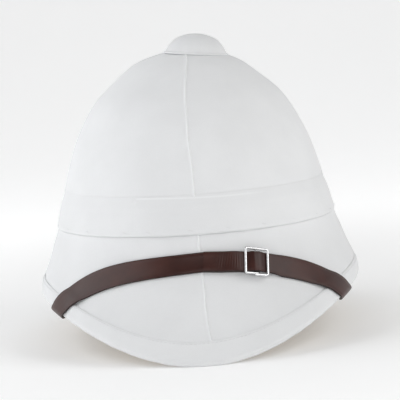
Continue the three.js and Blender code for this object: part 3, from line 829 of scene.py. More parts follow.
def pith_finish(name, colour):
    """Raw pith: layered, fibrous and full of small cells, with painted shade in their pits."""
    finish, tree, shader, spot = new_finish(name)
    layers = noise(tree, stretched(tree, spot, 4.0), 90.0, 5.0, 0.65)
    holes = cells(tree, spot, 420.0)
    body = mix_colour(tree, ramp(tree, layers, 0.3, 0.72), shade(colour, 0.72), shade(colour, 1.12))
    # Painted shade: the colour is darkened in the small cells' pits
    painted_pit_shade = times(tree, ramp(tree, holes, 0.25, 0.0), 0.45)
    feed(tree, shader, {
        "Base Color": mix_colour(tree, painted_pit_shade, body, shade(colour, 0.5)),
        "Normal": bump(tree, holes, 0.35, 0.0004, bump(tree, layers, 0.3, 0.0008)),
        "Roughness": 0.92,
        "Specular IOR Level": 0.2,
    })
    return finish


def thread_finish(name, colour):
    """Twisted cotton thread, with painted shade in the grooves of its twist."""
    finish, tree, shader, spot = new_finish(name)
    wave = node(tree, "ShaderNodeTexWave", {"Vector": spot, "Scale": 420.0, "Distortion": 1.5})
    # The twist gives the thread's bump and also a painted shade that darkens its grooves
    twist_and_painted_shade = wave.outputs["Fac"]
    feed(tree, shader, {
        "Normal": bump(tree, twist_and_painted_shade, 0.4, 0.0001),
        "Base Color": mix_colour(tree, twist_and_painted_shade, shade(colour, 0.88), shade(colour, 1.0)),
        "Roughness": 0.7,
    })
    return finish


FINISHES = {}


def finishes():
    """The helmet's materials, made once from the user's colours."""
    if not FINISHES:
        look = bpy.context.scene.pith_helmet
        white = look.cloth_colour
        FINISHES["cover"] = cloth_finish("white_drill", white, 0.0009, "drill")
        bias = math.pi / 4
        FINISHES["binding"] = cloth_finish("white_bias_strip", shade(white, 1.01), 0.0008, "plain", bias)
        FINISHES["band"] = cloth_finish("white_band_cotton", white, 0.0007, "plain")
        FINISHES["cap"] = cloth_finish("white_cap_cotton", shade(white, 0.94), 0.0008, "drill")
        FINISHES["thread"] = thread_finish("white_thread", shade(white, 0.98))
        FINISHES["leather"] = leather_finish("brown_strap_leather", look.leather_colour)
        FINISHES["steel"] = metal_finish("bright_wire", look.buckle_colour, 0.13, 900.0)
        FINISHES["brass"] = metal_finish("plain_brass", look.brass_colour, 0.34, 600.0)
        FINISHES["pith"] = pith_finish("raw_pith", look.pith_colour)
    return FINISHES


# Geometry Nodes

def stitch_tree():
    """Stitches along the edges of a mesh: a pitch, a length, a thread and a little unevenness."""
    tree = bpy.data.node_groups.new("row_of_stitches", "GeometryNodeTree")
    face = tree.interface
    face.new_socket("Path", in_out="INPUT", socket_type="NodeSocketGeometry")
    for name, value in (("Pitch", 0.003), ("Stitch Length", 0.0022), ("Thread Radius", 0.0002),
                        ("Unevenness", 0.05)):
        socket = face.new_socket(name, in_out="INPUT", socket_type="NodeSocketFloat")
        socket.default_value = value
    seed = face.new_socket("Seed", in_out="INPUT", socket_type="NodeSocketInt")
    seed.default_value = 4
    face.new_socket("Finish", in_out="INPUT", socket_type="NodeSocketMaterial")
    face.new_socket("Stitches", in_out="OUTPUT", socket_type="NodeSocketGeometry")
    given = tree.nodes.new("NodeGroupInput").outputs
    curve = node(tree, "GeometryNodeMeshToCurve", {"Mesh": given["Path"]}).outputs["Curve"]
    spacing = {"Curve": curve, "Length": given["Pitch"]}
    spaced = node(tree, "GeometryNodeResampleCurve", spacing, mode="LENGTH")
    tangent = node(tree, "GeometryNodeInputTangent").outputs["Tangent"]
    facing = node(tree, "FunctionNodeAlignRotationToVector", {"Vector": tangent}, axis="Z")
    ball = node(tree, "GeometryNodeMeshUVSphere", {"Segments": 8, "Rings": 5, "Radius": 1.0})
    uneven = node(tree, "FunctionNodeRandomValue", data_type="FLOAT")
    numbers = [s for s in uneven.inputs if s.type == "VALUE"]
    numbers[0].default_value = -1.0
    numbers[1].default_value = 1.0
    tree.links.new(given["Seed"], next(s for s in uneven.inputs if s.name == "Seed"))
    swing = next(s for s in uneven.outputs if s.type == "VALUE")
    change = plus(tree, times(tree, swing, given["Unevenness"]), 1.0)
    half = times(tree, times(tree, given["Stitch Length"], 0.5), change)
    radius = given["Thread Radius"]
    size = node(tree, "ShaderNodeCombineXYZ", {0: radius, 1: radius, 2: half})
    row = node(tree, "GeometryNodeInstanceOnPoints", {
        "Points": spaced.outputs["Curve"],
        "Instance": ball.outputs["Mesh"],
        "Rotation": facing.outputs["Rotation"],
        "Scale": size.outputs["Vector"],
    })
    real = node(tree, "GeometryNodeRealizeInstances", {"Geometry": row.outputs["Instances"]})
    smooth = node(tree, "GeometryNodeSetShadeSmooth", {0: real.outputs["Geometry"]})
    finished = {"Geometry": smooth.outputs[0], "Material": given["Finish"]}
    done = node(tree, "GeometryNodeSetMaterial", finished)
    node(tree, "NodeGroupOutput", {"Stitches": done.outputs["Geometry"]})
    return tree


def run_tree(name, tree, mesh, values):
    """Runs a node tree on a mesh and returns a plain object with the result."""
    carrier = bpy.data.objects.new(name + "_path", mesh)
    bpy.context.scene.collection.objects.link(carrier)
    modifier = carrier.modifiers.new("make", "NODES")
    modifier.node_group = tree
    sockets = {s.name: s.identifier for s in tree.interface.items_tree if s.in_out == "INPUT"}
    for key, value in values.items():
        modifier[sockets[key]] = value
    evaluated = carrier.evaluated_get(bpy.context.evaluated_depsgraph_get())
    made_mesh = bpy.data.meshes.new_from_object(evaluated)
    made_mesh.name = name
    made = bpy.data.objects.new(name, made_mesh)
    bpy.context.scene.collection.objects.link(made)
    carrier.modifiers.clear()
    bpy.data.objects.remove(carrier)
    if not made_mesh.polygons:
        raise RuntimeError(f"{name} came out empty")
    return made


def path_mesh(name, lines, closed):
    """A mesh of edges along one or more lines of points."""
    points, edges = [], []
    for line in lines:
        start = len(points)
        points += [tuple(p) for p in line]
        edges += [(start + i, start + i + 1) for i in range(len(line) - 1)]
        if closed:
            edges.append((len(points) - 1, start))
    mesh = bpy.data.meshes.new(name)
    mesh.from_pydata(points, edges, [])
    return mesh


def row_of_stitches(name, path, pitch, length, radius, unevenness, seed):
    """Thread stitches along a path, as a piece that stands for no solid."""
    made = run_tree(name, stitch_tree(), path, {
        "Pitch": pitch,
        "Stitch Length": length,
        "Thread Radius": radius,
        "Unevenness": unevenness,
        "Seed": seed,
        "Finish": finishes()["thread"],
    })
    return add_piece(made)


# Pieces

def cap_axes():
    """The ventilator's axes: it stands on the crown off its middle, and leans."""
    low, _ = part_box("vent_cap")
    seat = low.z + CAP_RADIUS * math.sin(CAP_LEAN)
    lean = Matrix.Rotation(CAP_LEAN, 3, "Y")
    x, y, z = (np.array(lean @ Vector(axis)) for axis in ((1, 0, 0), (0, 1, 0), (0, 0, 1)))
    return x, y, z, np.array([CAP_OFFSET, SHIFT[1], seat])


def first_places(angles, radius):
    """Where each column of the cloth comes out of the round hole under the ventilator."""
    _, _, axis, seat = cap_axes()
    inside = np.zeros_like(angles)
    outside = np.full_like(angles, float(len(CROWN_ROWS) - 1))
    for _ in range(HALVINGS):
        middle = (inside + outside) / 2
        away = skin_point(angles, middle) - seat
        off_axis = np.linalg.norm(away - (away @ axis)[..., None] * axis, axis=-1)
        inside = np.where(off_axis < radius, middle, inside)
        outside = np.where(off_axis < radius, outside, middle)
    return outside


PANELS = (
    ("front_left", -180, "start", "over"),
    ("front_right", -90, "under", "start"),
    ("rear_right", 0, "over", "under"),
    ("rear_left", 90, "over", "under"),
)


# How far a panel's close columns are from its edges, in millimetres, and the most of its span that they take
NEAR_COLUMNS = (0.0, 0.12, 0.25, 0.42, 0.6, 0.8, 1.0, 1.25, 1.5, 1.8, 2.2, 3.0, 4.5, 6.5, 9.0)
MILLIMETRE = 0.001
CLOSE_SHARE = 0.3

# How far an upper edge reaches over a seam, as a share of the clearance
LAP_SHARE = 0.4

# From a seam, the lower panel is lifted as far as the first distance, and lies flat from the second one on
UNDER_LAP_LIFTED = 0.004
UNDER_LAP_FLAT = 0.007

# Sections below the ventilator's hole in which a panel's relief grows
RELIEF_GROWS = 0.3


def column_spread(angle_from, angle_to, gaps, near, count):
    """Columns of a panel: close together at set distances from each seam, and even between them. Returns
    a function of the local radius that gives each column's angle, and its distances from both edges."""
    def at_radius(radius):
        span = angle_to - angle_from
        squeeze = np.minimum(1.0, CLOSE_SHARE * span * radius / near[-1])
        start, end = ((gap + near[None, :] * squeeze[:, None]) / radius[:, None] for gap in gaps)
        end = span - end[:, ::-1]
        inner = np.linspace(0, 1, count + 2)[1:-1]
        even = start[:, -1:] + (end[:, :1] - start[:, -1:]) * inner[None, :]
        turns = np.concatenate([start, even, end], axis=1)
        edges = [gap / radius[:, None] for gap in gaps]
        from_start = (turns - edges[0]) * radius[:, None]
        from_end = (span - edges[1] - turns) * radius[:, None]
        return angle_from + turns, from_start, from_end
    return at_radius


def mark_painted_highlight(made, crest):
    """Marks how far each outer point lies in the painted highlight of a seam or an edge, which lightens its
    colour.
    """
    marks = np.concatenate([crest, np.zeros_like(crest)], axis=1).ravel().astype(np.float32)
    made.data.attributes.new("crest", "FLOAT", "POINT").data.foreach_set("value", marks)


def cloth_panel(name, first_degree, lap_start, lap_end):
    """One gore of the cover, from the ventilator's hole to the brim's edge, with turned seam edges."""
    look = bpy.context.scene.pith_helmet
    start, end = math.radians(first_degree), math.radians(first_degree + 90)
    rows = look.panel_rows
    near = np.array(NEAR_COLUMNS) * MILLIMETRE
    middle = (start + end) / 2
    top = float(first_places(np.array([middle]), VENT_HOLE_RADIUS)[0])
    share = np.linspace(0, 1, rows)
    guide = top + (LAST_SECTION - top) * share
    step = 0.01
    ahead, behind = skin_point(middle + step, guide), skin_point(middle - step, guide)
    radius = np.linalg.norm(ahead - behind, axis=-1) / (2 * step)
    gaps = [CLEARANCE / 2 if lap == "under" else -CLEARANCE * LAP_SHARE for lap in (lap_start, lap_end)]
    spread = column_spread(start, end, gaps, near, look.panel_columns)
    angles, from_start, from_end = spread(radius)
    from_start, from_end = np.maximum(from_start, 0), np.maximum(from_end, 0)
    tops = first_places(angles[0], VENT_HOLE_RADIUS)
    places = tops[None, :] + (LAST_SECTION - tops[None, :]) * share[:, None]
    face = skin_point(angles, places)
    lift = soft_lumps(face, CLOTH_LUMP, CLOTH_SEED) * look.cloth_unevenness
    aways = [row.away for row in SEAM_RIDGE]
    lifts = np.array([row.lift for row in SEAM_RIDGE])
    lifts = lifts * look.seam_height / lifts.max()
    crest = np.zeros(face.shape[:2])
    for distance, lap in ((from_start, lap_start), (from_end, lap_end)):
        if lap == "under":
            lifted = 1 - smooth_step(distance, UNDER_LAP_LIFTED, UNDER_LAP_FLAT)
            lift = lift + look.under_lap_lift * lifted
        else:
            lift = lift + np.interp(distance, aways, lifts)
            # Painted highlight along the crest of a lapped seam, marked for the colour
            crest = np.maximum(crest, 1 - smooth_step(distance, PAINTED_HIGHLIGHT_WIDTH, 2 * PAINTED_HIGHLIGHT_WIDTH))
    lift = lift * smooth_step(places, tops[None, :], tops[None, :] + RELIEF_GROWS)
    outer = skin(angles, places, lift)
    inner = skin(angles, places, -CLOTH_THICKNESS)
    loops = np.concatenate([outer, inner[::-1]]).transpose(1, 0, 2)
    down = lengths_along(face[:, face.shape[1] // 2])
    along, around = there_and_back(from_start).T, there_and_back(down)
    made = loft(f"cloth_{name}", loops, along, around, finishes()["cover"])
    mark_painted_highlight(made, crest.T)
    dress(made, "cloth", f"cover_{name}")
    seam_length = float(down[-1])
    hem_length = float(np.linalg.norm(np.diff(face[-1], axis=0), axis=1).sum())
    rows_length = np.linalg.norm(np.diff(face, axis=1), axis=-1).sum(axis=1)
    area = float(np.sum((rows_length[1:] + rows_length[:-1]) / 2 * np.diff(down)))
    area = min(area, hem_length * seam_length)
    return made


# The shell's rows from its hole to its edge, the steps round that edge, and the edge's reach as a share of
# the half round that the wall's thickness would give
SHELL_ROWS = 70
SHELL_EDGE_STEPS = 9
SHELL_EDGE_REACH = 0.8

# The wall's rough inner face: size, seed and depth of its lumps
PITH_LUMP = 0.02
PITH_SEED = 9
PITH_DEPTH = 0.0002

# About how long the wall's section is, for its pattern
SHELL_SECTION_LENGTH = 0.5


def pith_body():
    """The pith shell: one wall with a rounded edge and the round hole under the ventilator."""
    look = bpy.context.scene.pith_helmet
    angles = angles_round(look.round_columns)
    tops = first_places(angles, VENT_HOLE_RADIUS)
    share = np.linspace(0, 1, SHELL_ROWS)
    places = tops[:, None] + (LAST_SECTION - tops[:, None]) * share[None, :]
    turned = angles[:, None]
    outer = skin(turned, places, -COVER_DEPTH)
    rough = soft_lumps(skin_point(turned, places), PITH_LUMP, PITH_SEED) * PITH_DEPTH
    inner = skin(turned, places, -SKIN_TO_LINING - rough)
    _, out, down = skin_frame(turned, np.full((len(angles), 1), float(LAST_SECTION)))
    middle = skin(turned, float(LAST_SECTION), -COVER_DEPTH - SHELL_WALL / 2)
    bend = np.linspace(0, math.pi, SHELL_EDGE_STEPS)[1:-1][None, :, None]
    edge = middle + SHELL_WALL / 2 * (out * np.cos(bend) + SHELL_EDGE_REACH * down * np.sin(bend))
    loops = np.concatenate([outer, edge, inner[:, ::-1]], axis=1)
    ring = loops.shape[1]
    along = np.arange(len(angles) + 1) / len(angles) * 2 * math.pi * CROWN_HALF_WIDTH
    around = np.arange(ring + 1) / ring * SHELL_SECTION_LENGTH
    made = loft("pith_body", loops, along, around, finishes()["pith"], True)
    return dress(made, "pith", "pith_shell")


# The strip's section. On the outside, distances below its upper edge, and lifts as shares of its thickness
STRIP_TOP = (
    LiftRow(0.0, 0.35),
    LiftRow(0.0003, 0.72),
    LiftRow(0.0008, 0.95),
    LiftRow(0.0016, 1.04),
    LiftRow(0.003, 1.0),
)
STRIP_FLAT = (0.0052, 0.0078)

# How far above the brim's edge its last row on the outside lies
STRIP_LOWEST = 0.0006

# Its upper edge lies closer to the cloth: by this share of the clearance, and over this width
STRIP_DRAWN_IN = 0.8
STRIP_DRAWN_OVER = 0.003

# Round the edge, how many rows it has, and how near they come to the turn's ends
TURN_ROWS = 15
TURN_END_SHARE = 0.02

# On the inside, distances up from the edge's turn
STRIP_INSIDE = (
    LiftRow(0.0008, 1.0),
    LiftRow(0.003, 1.0),
    LiftRow(0.0055, 1.0),
    LiftRow(0.008, 1.04),
    LiftRow(0.0094, 1.0),
    LiftRow(0.0102, 0.9),
    LiftRow(0.0107, 0.7),
    LiftRow(0.011, 0.35),
)

# Its puckers and soft waves: how many radians of wave a radian of the edge has, and how high they are
PUCKER_RATE = 190
PUCKER_SWAY_RATE = 23
PUCKER_SWAY = 3
PUCKER_HEIGHT = 0.00009
SOFT_RATES = (61, 37)
SOFT_HEIGHT = 0.00006

# Where its ends meet in a lap
STRIP_LAP_ANGLE = math.radians(97)
STRIP_LAP_HEIGHT = 0.00035


def binding_lift(angle, distance, lift):
    """The strip's outer face: small puckers along its inside turn, and the lap where its ends meet."""
    sway = PUCKER_SWAY * np.sin(angle * PUCKER_SWAY_RATE)
    pucker = np.sin(angle * PUCKER_RATE + sway) * PUCKER_HEIGHT * smooth_step(-distance, 0.004, 0.02)
    soft = (np.sin(angle * SOFT_RATES[0] + 1) + np.sin(angle * SOFT_RATES[1])) * SOFT_HEIGHT
    from_lap = (angle - STRIP_LAP_ANGLE) * BRIM_REAR_REACH
    lap = STRIP_LAP_HEIGHT * plateau(from_lap, 0.0, 0.0009, 0.012, 0.02)
    return lift + pucker + soft + lap


def edge_binding():
    """The strip folded round the brim's edge."""
    look = bpy.context.scene.pith_helmet
    angles = angles_round(look.binding_columns)
    turned = angles[:, None]
    width = binding_width(turned)
    top = np.array([row.away for row in STRIP_TOP])
    top_lift = np.array([row.lift for row in STRIP_TOP]) * CLOTH_THICKNESS
    rows = np.concatenate([top, STRIP_FLAT])
    out_rows = np.concatenate([width - rows[None, :], np.full((len(angles), 1), STRIP_LOWEST)], axis=1)
    out_lift = np.interp(np.append(rows, rows[-1]), top, top_lift)
    turn_rows = -np.linspace(TURN_END_SHARE, 1 - TURN_END_SHARE, TURN_ROWS) * TURN_LENGTH
    in_rows = -TURN_LENGTH - np.array([row.away for row in STRIP_INSIDE])
    in_lift = np.array([row.lift for row in STRIP_INSIDE]) * CLOTH_THICKNESS
    rest = np.concatenate([turn_rows, in_rows])
    distance = np.concatenate([out_rows, np.broadcast_to(rest[None, :], (len(angles), len(rest)))], axis=1)
    lift = np.concatenate([out_lift, np.full(TURN_ROWS, CLOTH_THICKNESS), in_lift])[None, :]
    seat = CLEARANCE * (1 - STRIP_DRAWN_IN * smooth_step(distance, width - STRIP_DRAWN_OVER, width))
    outer = round_the_edge(turned, distance, seat + binding_lift(turned, distance, lift))
    inner = round_the_edge(turned, distance, seat)
    loops = np.concatenate([outer, inner[:, ::-1]], axis=1)
    loops[..., 2] = np.maximum(loops[..., 2], 0.0)
    girth = lengths_round(loops[:, out_rows.shape[1]])
    around = there_and_back(-distance[len(angles) // 4])
    made = loft("binding_strip", loops, girth, around, finishes()["binding"], True)
    dress(made, "binding", "edge_binding")
    return made


# Points round each row of the strip's stitches, how far above the strip the thread's middle lies, and the
# shares of the pitch that a stitch and a tack stitch fill
STITCH_POINTS = 1440
THREAD_LIFT = 0.00008
STITCH_SHARE = 0.72
TACK_LENGTH_SHARE = 0.6


def binding_stitches():
    look = bpy.context.scene.pith_helmet
    angles = angles_round(STITCH_POINTS)
    inset = look.stitch_inset
    outside = round_the_edge(angles, binding_width(angles) - inset, BINDING_LIFT + THREAD_LIFT)
    within = round_the_edge(angles, inset - TURN_LENGTH - BINDING_INSIDE_WIDTH, BINDING_LIFT + THREAD_LIFT)
    path = path_mesh("binding_seam", [outside, within], True)
    pitch, radius = look.stitch_pitch, look.thread_radius
    length = pitch * STITCH_SHARE
    return row_of_stitches("binding_stitches", path, pitch, length, radius, 0.12, 11)


PUGGAREE_LAP_LEFT = math.radians(-115.5)
PUGGAREE_LAP_RIGHT = math.radians(-24.0)

# A painted highlight along the edge of the band's outer turn drops from one share of its height to the
# other, then fades
PAINTED_HIGHLIGHT_FROM = 0.95
PAINTED_HIGHLIGHT_TO = 0.905
PAINTED_HIGHLIGHT_FADES = math.radians(-72.0)
PAINTED_HIGHLIGHT_ENDS = math.radians(-55.0)

# How far that painted highlight reaches across, as a share of the band's height
PAINTED_HIGHLIGHT_REACH = 0.02

# Its outer turn: how much thicker it makes the band, and the radians in which its ends come and go
OUTER_TURN_THICKNESS = 0.0003
TURN_LAP_FADE = 0.012

# Its own soft lumps
BAND_LUMP = 0.034
BAND_SEED = 21

# The end of its fold: share of its height, reach in shares and reach in radians
FOLD_SHARE = 0.9
FOLD_REACH = 0.06
FOLD_END_REACH = 0.016

# The least thickness that it has anywhere
LEAST_BAND_LIFT = 0.00012

# Its upper edge is drawn in to the cloth between these shares of its height
DRAWN_IN_FROM = 0.7
DRAWN_IN_TO = 0.97

# Rows of its section from foot to top
BAND_SHARES = np.concatenate([
    [0.0, 0.004, 0.012, 0.025, 0.045, 0.08],
    np.linspace(0.12, 0.84, 20),
    np.linspace(0.855, 0.985, 14),
    [0.994, 1.0],
])

# Its section: shares of its height, and of its thickness
BAND_SWELL = (
    LiftRow(0.0, 0.15),
    LiftRow(0.004, 0.42),
    LiftRow(0.012, 0.66),
    LiftRow(0.025, 0.84),
    LiftRow(0.045, 0.93),
    LiftRow(0.12, 1.0),
    LiftRow(0.5, 0.93),
    LiftRow(0.7, 0.74),
    LiftRow(0.85, 0.47),
    LiftRow(0.93, 0.29),
    LiftRow(0.97, 0.2),
    LiftRow(0.99, 0.14),
    LiftRow(1.0, 0.08),
)


def puggaree_band():
    """The plain folded band: rounded edges, a softer upper edge, the lap of its outer turn and a painted
    highlight along that turn's edge.
    """
    look = bpy.context.scene.pith_helmet
    angles = angles_round(look.binding_columns)
    foot = place_at_height(angles, PUGGAREE_FOOT)
    top = place_at_height(angles, PUGGAREE_FOOT + PUGGAREE_HEIGHT)
    share = BAND_SHARES[None, :]
    swell = np.interp(share, [row.away for row in BAND_SWELL], [row.lift for row in BAND_SWELL])
    places = foot[:, None] + (top - foot)[:, None] * share
    turned = angles[:, None]
    face = skin_point(turned, places)
    lap_left, lap_right = PUGGAREE_LAP_LEFT, PUGGAREE_LAP_RIGHT
    lap = plateau(turned, lap_left, lap_left + TURN_LAP_FADE, lap_right - TURN_LAP_FADE, lap_right)
    lift = swell * (PUGGAREE_THICKNESS - OUTER_TURN_THICKNESS)
    lift = lift + lap * OUTER_TURN_THICKNESS * np.minimum(1, swell * 1.5)
    lift = lift + soft_lumps(face, BAND_LUMP, BAND_SEED) * look.cloth_unevenness * 0.5 * swell
    fold_end = bell(share, FOLD_SHARE, FOLD_REACH) * bell(turned, lap_left, FOLD_END_REACH)
    lift = np.maximum(lift + look.fold_end_height * fold_end, LEAST_BAND_LIFT)
    drawn_in = (PUGGAREE_CLEARANCE - look.band_gap) * smooth_step(share, DRAWN_IN_FROM, DRAWN_IN_TO)
    seat = PUGGAREE_CLEARANCE - drawn_in + soft_lumps(face, CLOTH_LUMP, CLOTH_SEED) * look.cloth_unevenness
    outer = skin(turned, places, seat + lift)
    inner = skin(turned, places, seat)
    loops = np.concatenate([outer, inner[:, ::-1]], axis=1)
    girth = lengths_round(face[:, 0])
    around = there_and_back(BAND_SHARES * PUGGAREE_HEIGHT)
    made = loft("puggaree_band", loops, girth, around, finishes()["band"], True)
    # Painted highlight along the upper edge of the band's outer turn, marked for the colour
    edge = lerp(PAINTED_HIGHLIGHT_FROM, PAINTED_HIGHLIGHT_TO, smooth_step(turned, lap_left, PAINTED_HIGHLIGHT_FADES))
    highlight_shows = plateau(turned, lap_left, lap_left + 0.02, PAINTED_HIGHLIGHT_FADES, PAINTED_HIGHLIGHT_ENDS)
    mark_painted_highlight(made, highlight_shows * bell(share, edge, PAINTED_HIGHLIGHT_REACH))
    dress(made, "band", "puggaree")
    return made


# Tack stitches near the band's lower edge: the four that the front shows, then one every so often round it
FRONT_TACKS = (-119.5, -109.5, -93.0, -78.5)
TACK_SPACING = 15.0
TACK_SHARE = 0.11


def tack_stitches():
    look = bpy.context.scene.pith_helmet
    rest = np.arange(FRONT_TACKS[-1] + TACK_SPACING, 360 + FRONT_TACKS[0] - TACK_SPACING / 2, TACK_SPACING)
    angles = np.radians(np.concatenate([FRONT_TACKS, rest]))
    foot = place_at_height(angles, PUGGAREE_FOOT)
    top = place_at_height(angles, PUGGAREE_FOOT + PUGGAREE_HEIGHT)
    places = foot + (top - foot) * TACK_SHARE
    half = look.stitch_pitch * 0.25
    lift = PUGGAREE_CLEARANCE + PUGGAREE_THICKNESS
    around, _, down = skin_frame(angles, places)
    middle = skin(angles, places, lift)
    slant = unit(around + 0.25 * down)
    lines = [(m - s * half, m + s * half) for m, s in zip(middle, slant)]
    path = path_mesh("tack_places", lines, False)
    length, radius = look.stitch_pitch * TACK_LENGTH_SHARE, look.thread_radius * 1.4
    return row_of_stitches("tack_stitches", path, half * 4, length, radius, 0.2, 5)


def smooth_profile(rows, steps):
    """A round line through the rows, for a turned shape."""
    rows = np.asarray(rows, float)
    ends = np.vstack([2 * rows[0] - rows[1], rows, 2 * rows[-1] - rows[-2]])
    ends[-1] = (-rows[-2][0], rows[-2][1])
    made = []
    for i in range(len(rows) - 1):
        before, start, end, after = ends[i:i + 4]
        for t in np.linspace(0, 1, steps, endpoint=False):
            slope_in, slope_out = (end - before) / 2, (after - start) / 2
            bend = (1 - t) * (slope_in - (end - start)) - t * (slope_out - (end - start))
            made.append(lerp(start, end, t) + t * (1 - t) * bend)
    return made + [rows[-1]]


# The cap's rolled hem, and the height above the cap's foot where its dome starts
HEM_RADIUS = 0.0009
DOME_FROM = 0.0019

# The socket for the post: its depth and wall, how far below the roof its outside starts, and how far from
# its bore the cap's inner rows start
SOCKET_DEPTH = 0.006
SOCKET_WALL = 0.0025
SOCKET_FROM_ROOF = 0.0009
SOCKET_ROOM = 0.0045

# The gathers in the cap's cloth
GATHER_HEIGHT = 0.00012


def vent_cap():
    """A cloth covered dome with a rolled hem, hollow below, with the socket for its post."""
    axes = cap_axes()
    dome = smooth_profile([(CAP_RADIUS * row.radius, CAP_HEIGHT * row.height) for row in CAP_ROWS], 7)
    angles = np.linspace(-math.pi * 0.75, math.pi * 0.35, 8)
    middle, level = CAP_RADIUS - HEM_RADIUS * 0.8, HEM_RADIUS * 0.6
    hem = [(middle + HEM_RADIUS * math.cos(a), level + HEM_RADIUS * math.sin(a)) for a in angles]
    dome = [p for p in dome if p[1] > DOME_FROM]
    roof = CAP_HEIGHT - CAP_WALL
    inner = [((CAP_RADIUS - CAP_WALL) * row.radius, roof * row.height) for row in CAP_ROWS[:-1]]
    socket = VENT_POST_RADIUS + CLEARANCE
    mouth = roof - SOCKET_DEPTH
    under = [(0.0, roof), (socket, roof), (socket, mouth), (socket + SOCKET_WALL, mouth),
             (socket + SOCKET_WALL, roof - SOCKET_FROM_ROOF)]
    under += [p for p in reversed(inner) if p[0] > socket + SOCKET_ROOM]
    profile = under + hem + [tuple(p) for p in dome]
    made = lathe("ventilator_cap", profile, axes, finishes()["cap"], 128, 60)
    crease_the_hem(made, axes)
    return dress(made, "cap", "vent_cap")


def crease_the_hem(made, axes):
    """Small gathers in the cap's cloth just above its hem."""
    x, y, z, origin = axes
    points = np.array([v.co for v in made.data.vertices])
    local = points - origin
    across, along, height = local @ x, local @ y, local @ z
    angle = np.arctan2(along, across)
    radius = np.hypot(across, along)
    near_hem = plateau(height, 0.0008, 0.002, 0.003, 0.008)
    outside = smooth_step(radius, CAP_RADIUS * 0.8, CAP_RADIUS * 0.9)
    wave = (np.sin(angle * 26 + 2.2 * np.sin(angle * 5)) + np.sin(angle * 11 + 1)) * GATHER_HEIGHT
    points += (wave * near_hem * outside)[:, None] * unit(local - height[:, None] * z)
    made.data.vertices.foreach_set("co", points.ravel().astype(np.float32))
    made.data.update()


def vent_post():
    """The plain post and the plate that holds it under the shell."""
    axes = cap_axes()
    low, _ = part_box("vent_post")
    plate_low = (low.z - axes[3][2] + VENT_PLATE_RADIUS * math.sin(CAP_LEAN)) / math.cos(CAP_LEAN)
    plate_high = plate_low + VENT_PLATE_THICKNESS
    top = CAP_HEIGHT - CAP_WALL - CLEARANCE
    bevel = 0.0004
    profile = [
        (0.0, plate_low), (VENT_PLATE_RADIUS - bevel, plate_low), (VENT_PLATE_RADIUS, plate_low + bevel),
        (VENT_PLATE_RADIUS, plate_high - bevel), (VENT_PLATE_RADIUS - bevel, plate_high),
        (VENT_POST_RADIUS + bevel, plate_high), (VENT_POST_RADIUS, plate_high + bevel),
        (VENT_POST_RADIUS, top - bevel), (VENT_POST_RADIUS - bevel, top), (0.0, top),
    ]
    return dress(lathe("ventilator_post", profile, axes, finishes()["brass"], 64), "brass", "vent_post")


def rounded_run(points, rounds=3):
    """Cuts the corners of an open line again and again."""
    points = np.asarray(points, float)
    for _ in range(rounds):
        near = lerp(points[:-1], points[1:], 0.25)
        far = lerp(points[:-1], points[1:], 0.75)
        points = np.vstack([points[:1], np.stack([near, far], 1).reshape(-1, 2), points[-1:]])
    return points


def spaced_run(points, step):
    lengths = lengths_along(points)
    count = max(2, int(lengths[-1] / step) + 1)
    at = np.linspace(0, lengths[-1], count)
    return np.stack([np.interp(at, lengths, points[:, k]) for k in range(2)], -1), at


def leather_profile():
    """Half of a strap's section from one edge to the other: across, and share of its thickness."""
    half = STRAP_WIDTH / 2
    side = [(1.0, 0.5), (0.997, 0.74), (0.988, 0.9), (0.97, 0.98), (0.94, 1.0), (0.9, 1.0), (0.885, 0.97),
            (0.87, 0.955), (0.855, 0.97), (0.84, 1.0), (0.6, 1.0), (0.3, 1.0)]
    rows = [(a * half, t) for a, t in side]
    return np.array(rows + [(0.0, 1.0)] + [(-a, t) for a, t in reversed(rows)])


# How far from the tail's end the pressed lines start, and how long they take to fade in and out
RIBS_FROM_END = 0.008
RIB_FADE = 0.004

# Lengths from one section of a leather to the next
RIBBED_STEP = 0.0004
PLAIN_STEP = 0.0008

# The left leather thins over this length, and a little before it
THINNING_LENGTH = 0.003
THINNING_AHEAD = 0.002


def strap_leather(name, run, thickness, step, ribs=None):
    """A strap along a run of distances and levels of its middle. thickness goes by the length from the
    start, and ribs is a stretch of distances with fine pressed lines across it."""
    path, at = spaced_run(run, step)
    tangent = unit(np.gradient(path, axis=0))
    normal = np.stack([-tangent[:, 1], tangent[:, 0]], -1)
    thick = thickness(at, path)
    if normal[:, 1].mean() < 0:
        normal = -normal
    upper = leather_profile()
    lower = upper[::-1].copy()
    lower[:, 1] = 1 - np.where(np.abs(lower[:, 0]) < STRAP_WIDTH * 0.46, 1.0, lower[:, 1])
    across = np.concatenate([upper[:, 0], lower[:, 0]])
    level = np.concatenate([upper[:, 1], lower[:, 1]]) - 0.5
    face = np.concatenate([np.ones(len(upper)), np.zeros(len(lower))])
    offset = thick[:, None] * level[None, :]
    if ribs is not None:
        low, high, pitch, depth = ribs
        inside = plateau(path[:, 0], low, low + RIB_FADE, high - RIB_FADE, high)
        pressed = np.minimum(0, np.cos(path[:, 0] / pitch * 2 * math.pi) - 0.35)
        middle = 1 - smooth_step(np.abs(across), STRAP_WIDTH * 0.3, STRAP_WIDTH * 0.42)
        offset = offset + depth * (inside * pressed)[:, None] * (face * middle)[None, :]
    distance = path[:, :1] + normal[:, :1] * offset
    lift = path[:, 1:] + normal[:, 1:] * offset
    loops = strap_point(distance, lift, np.broadcast_to(across, distance.shape))
    around = np.append(across, across[0])
    return loft(name, loops, at, around, finishes()["leather"], False, 40)


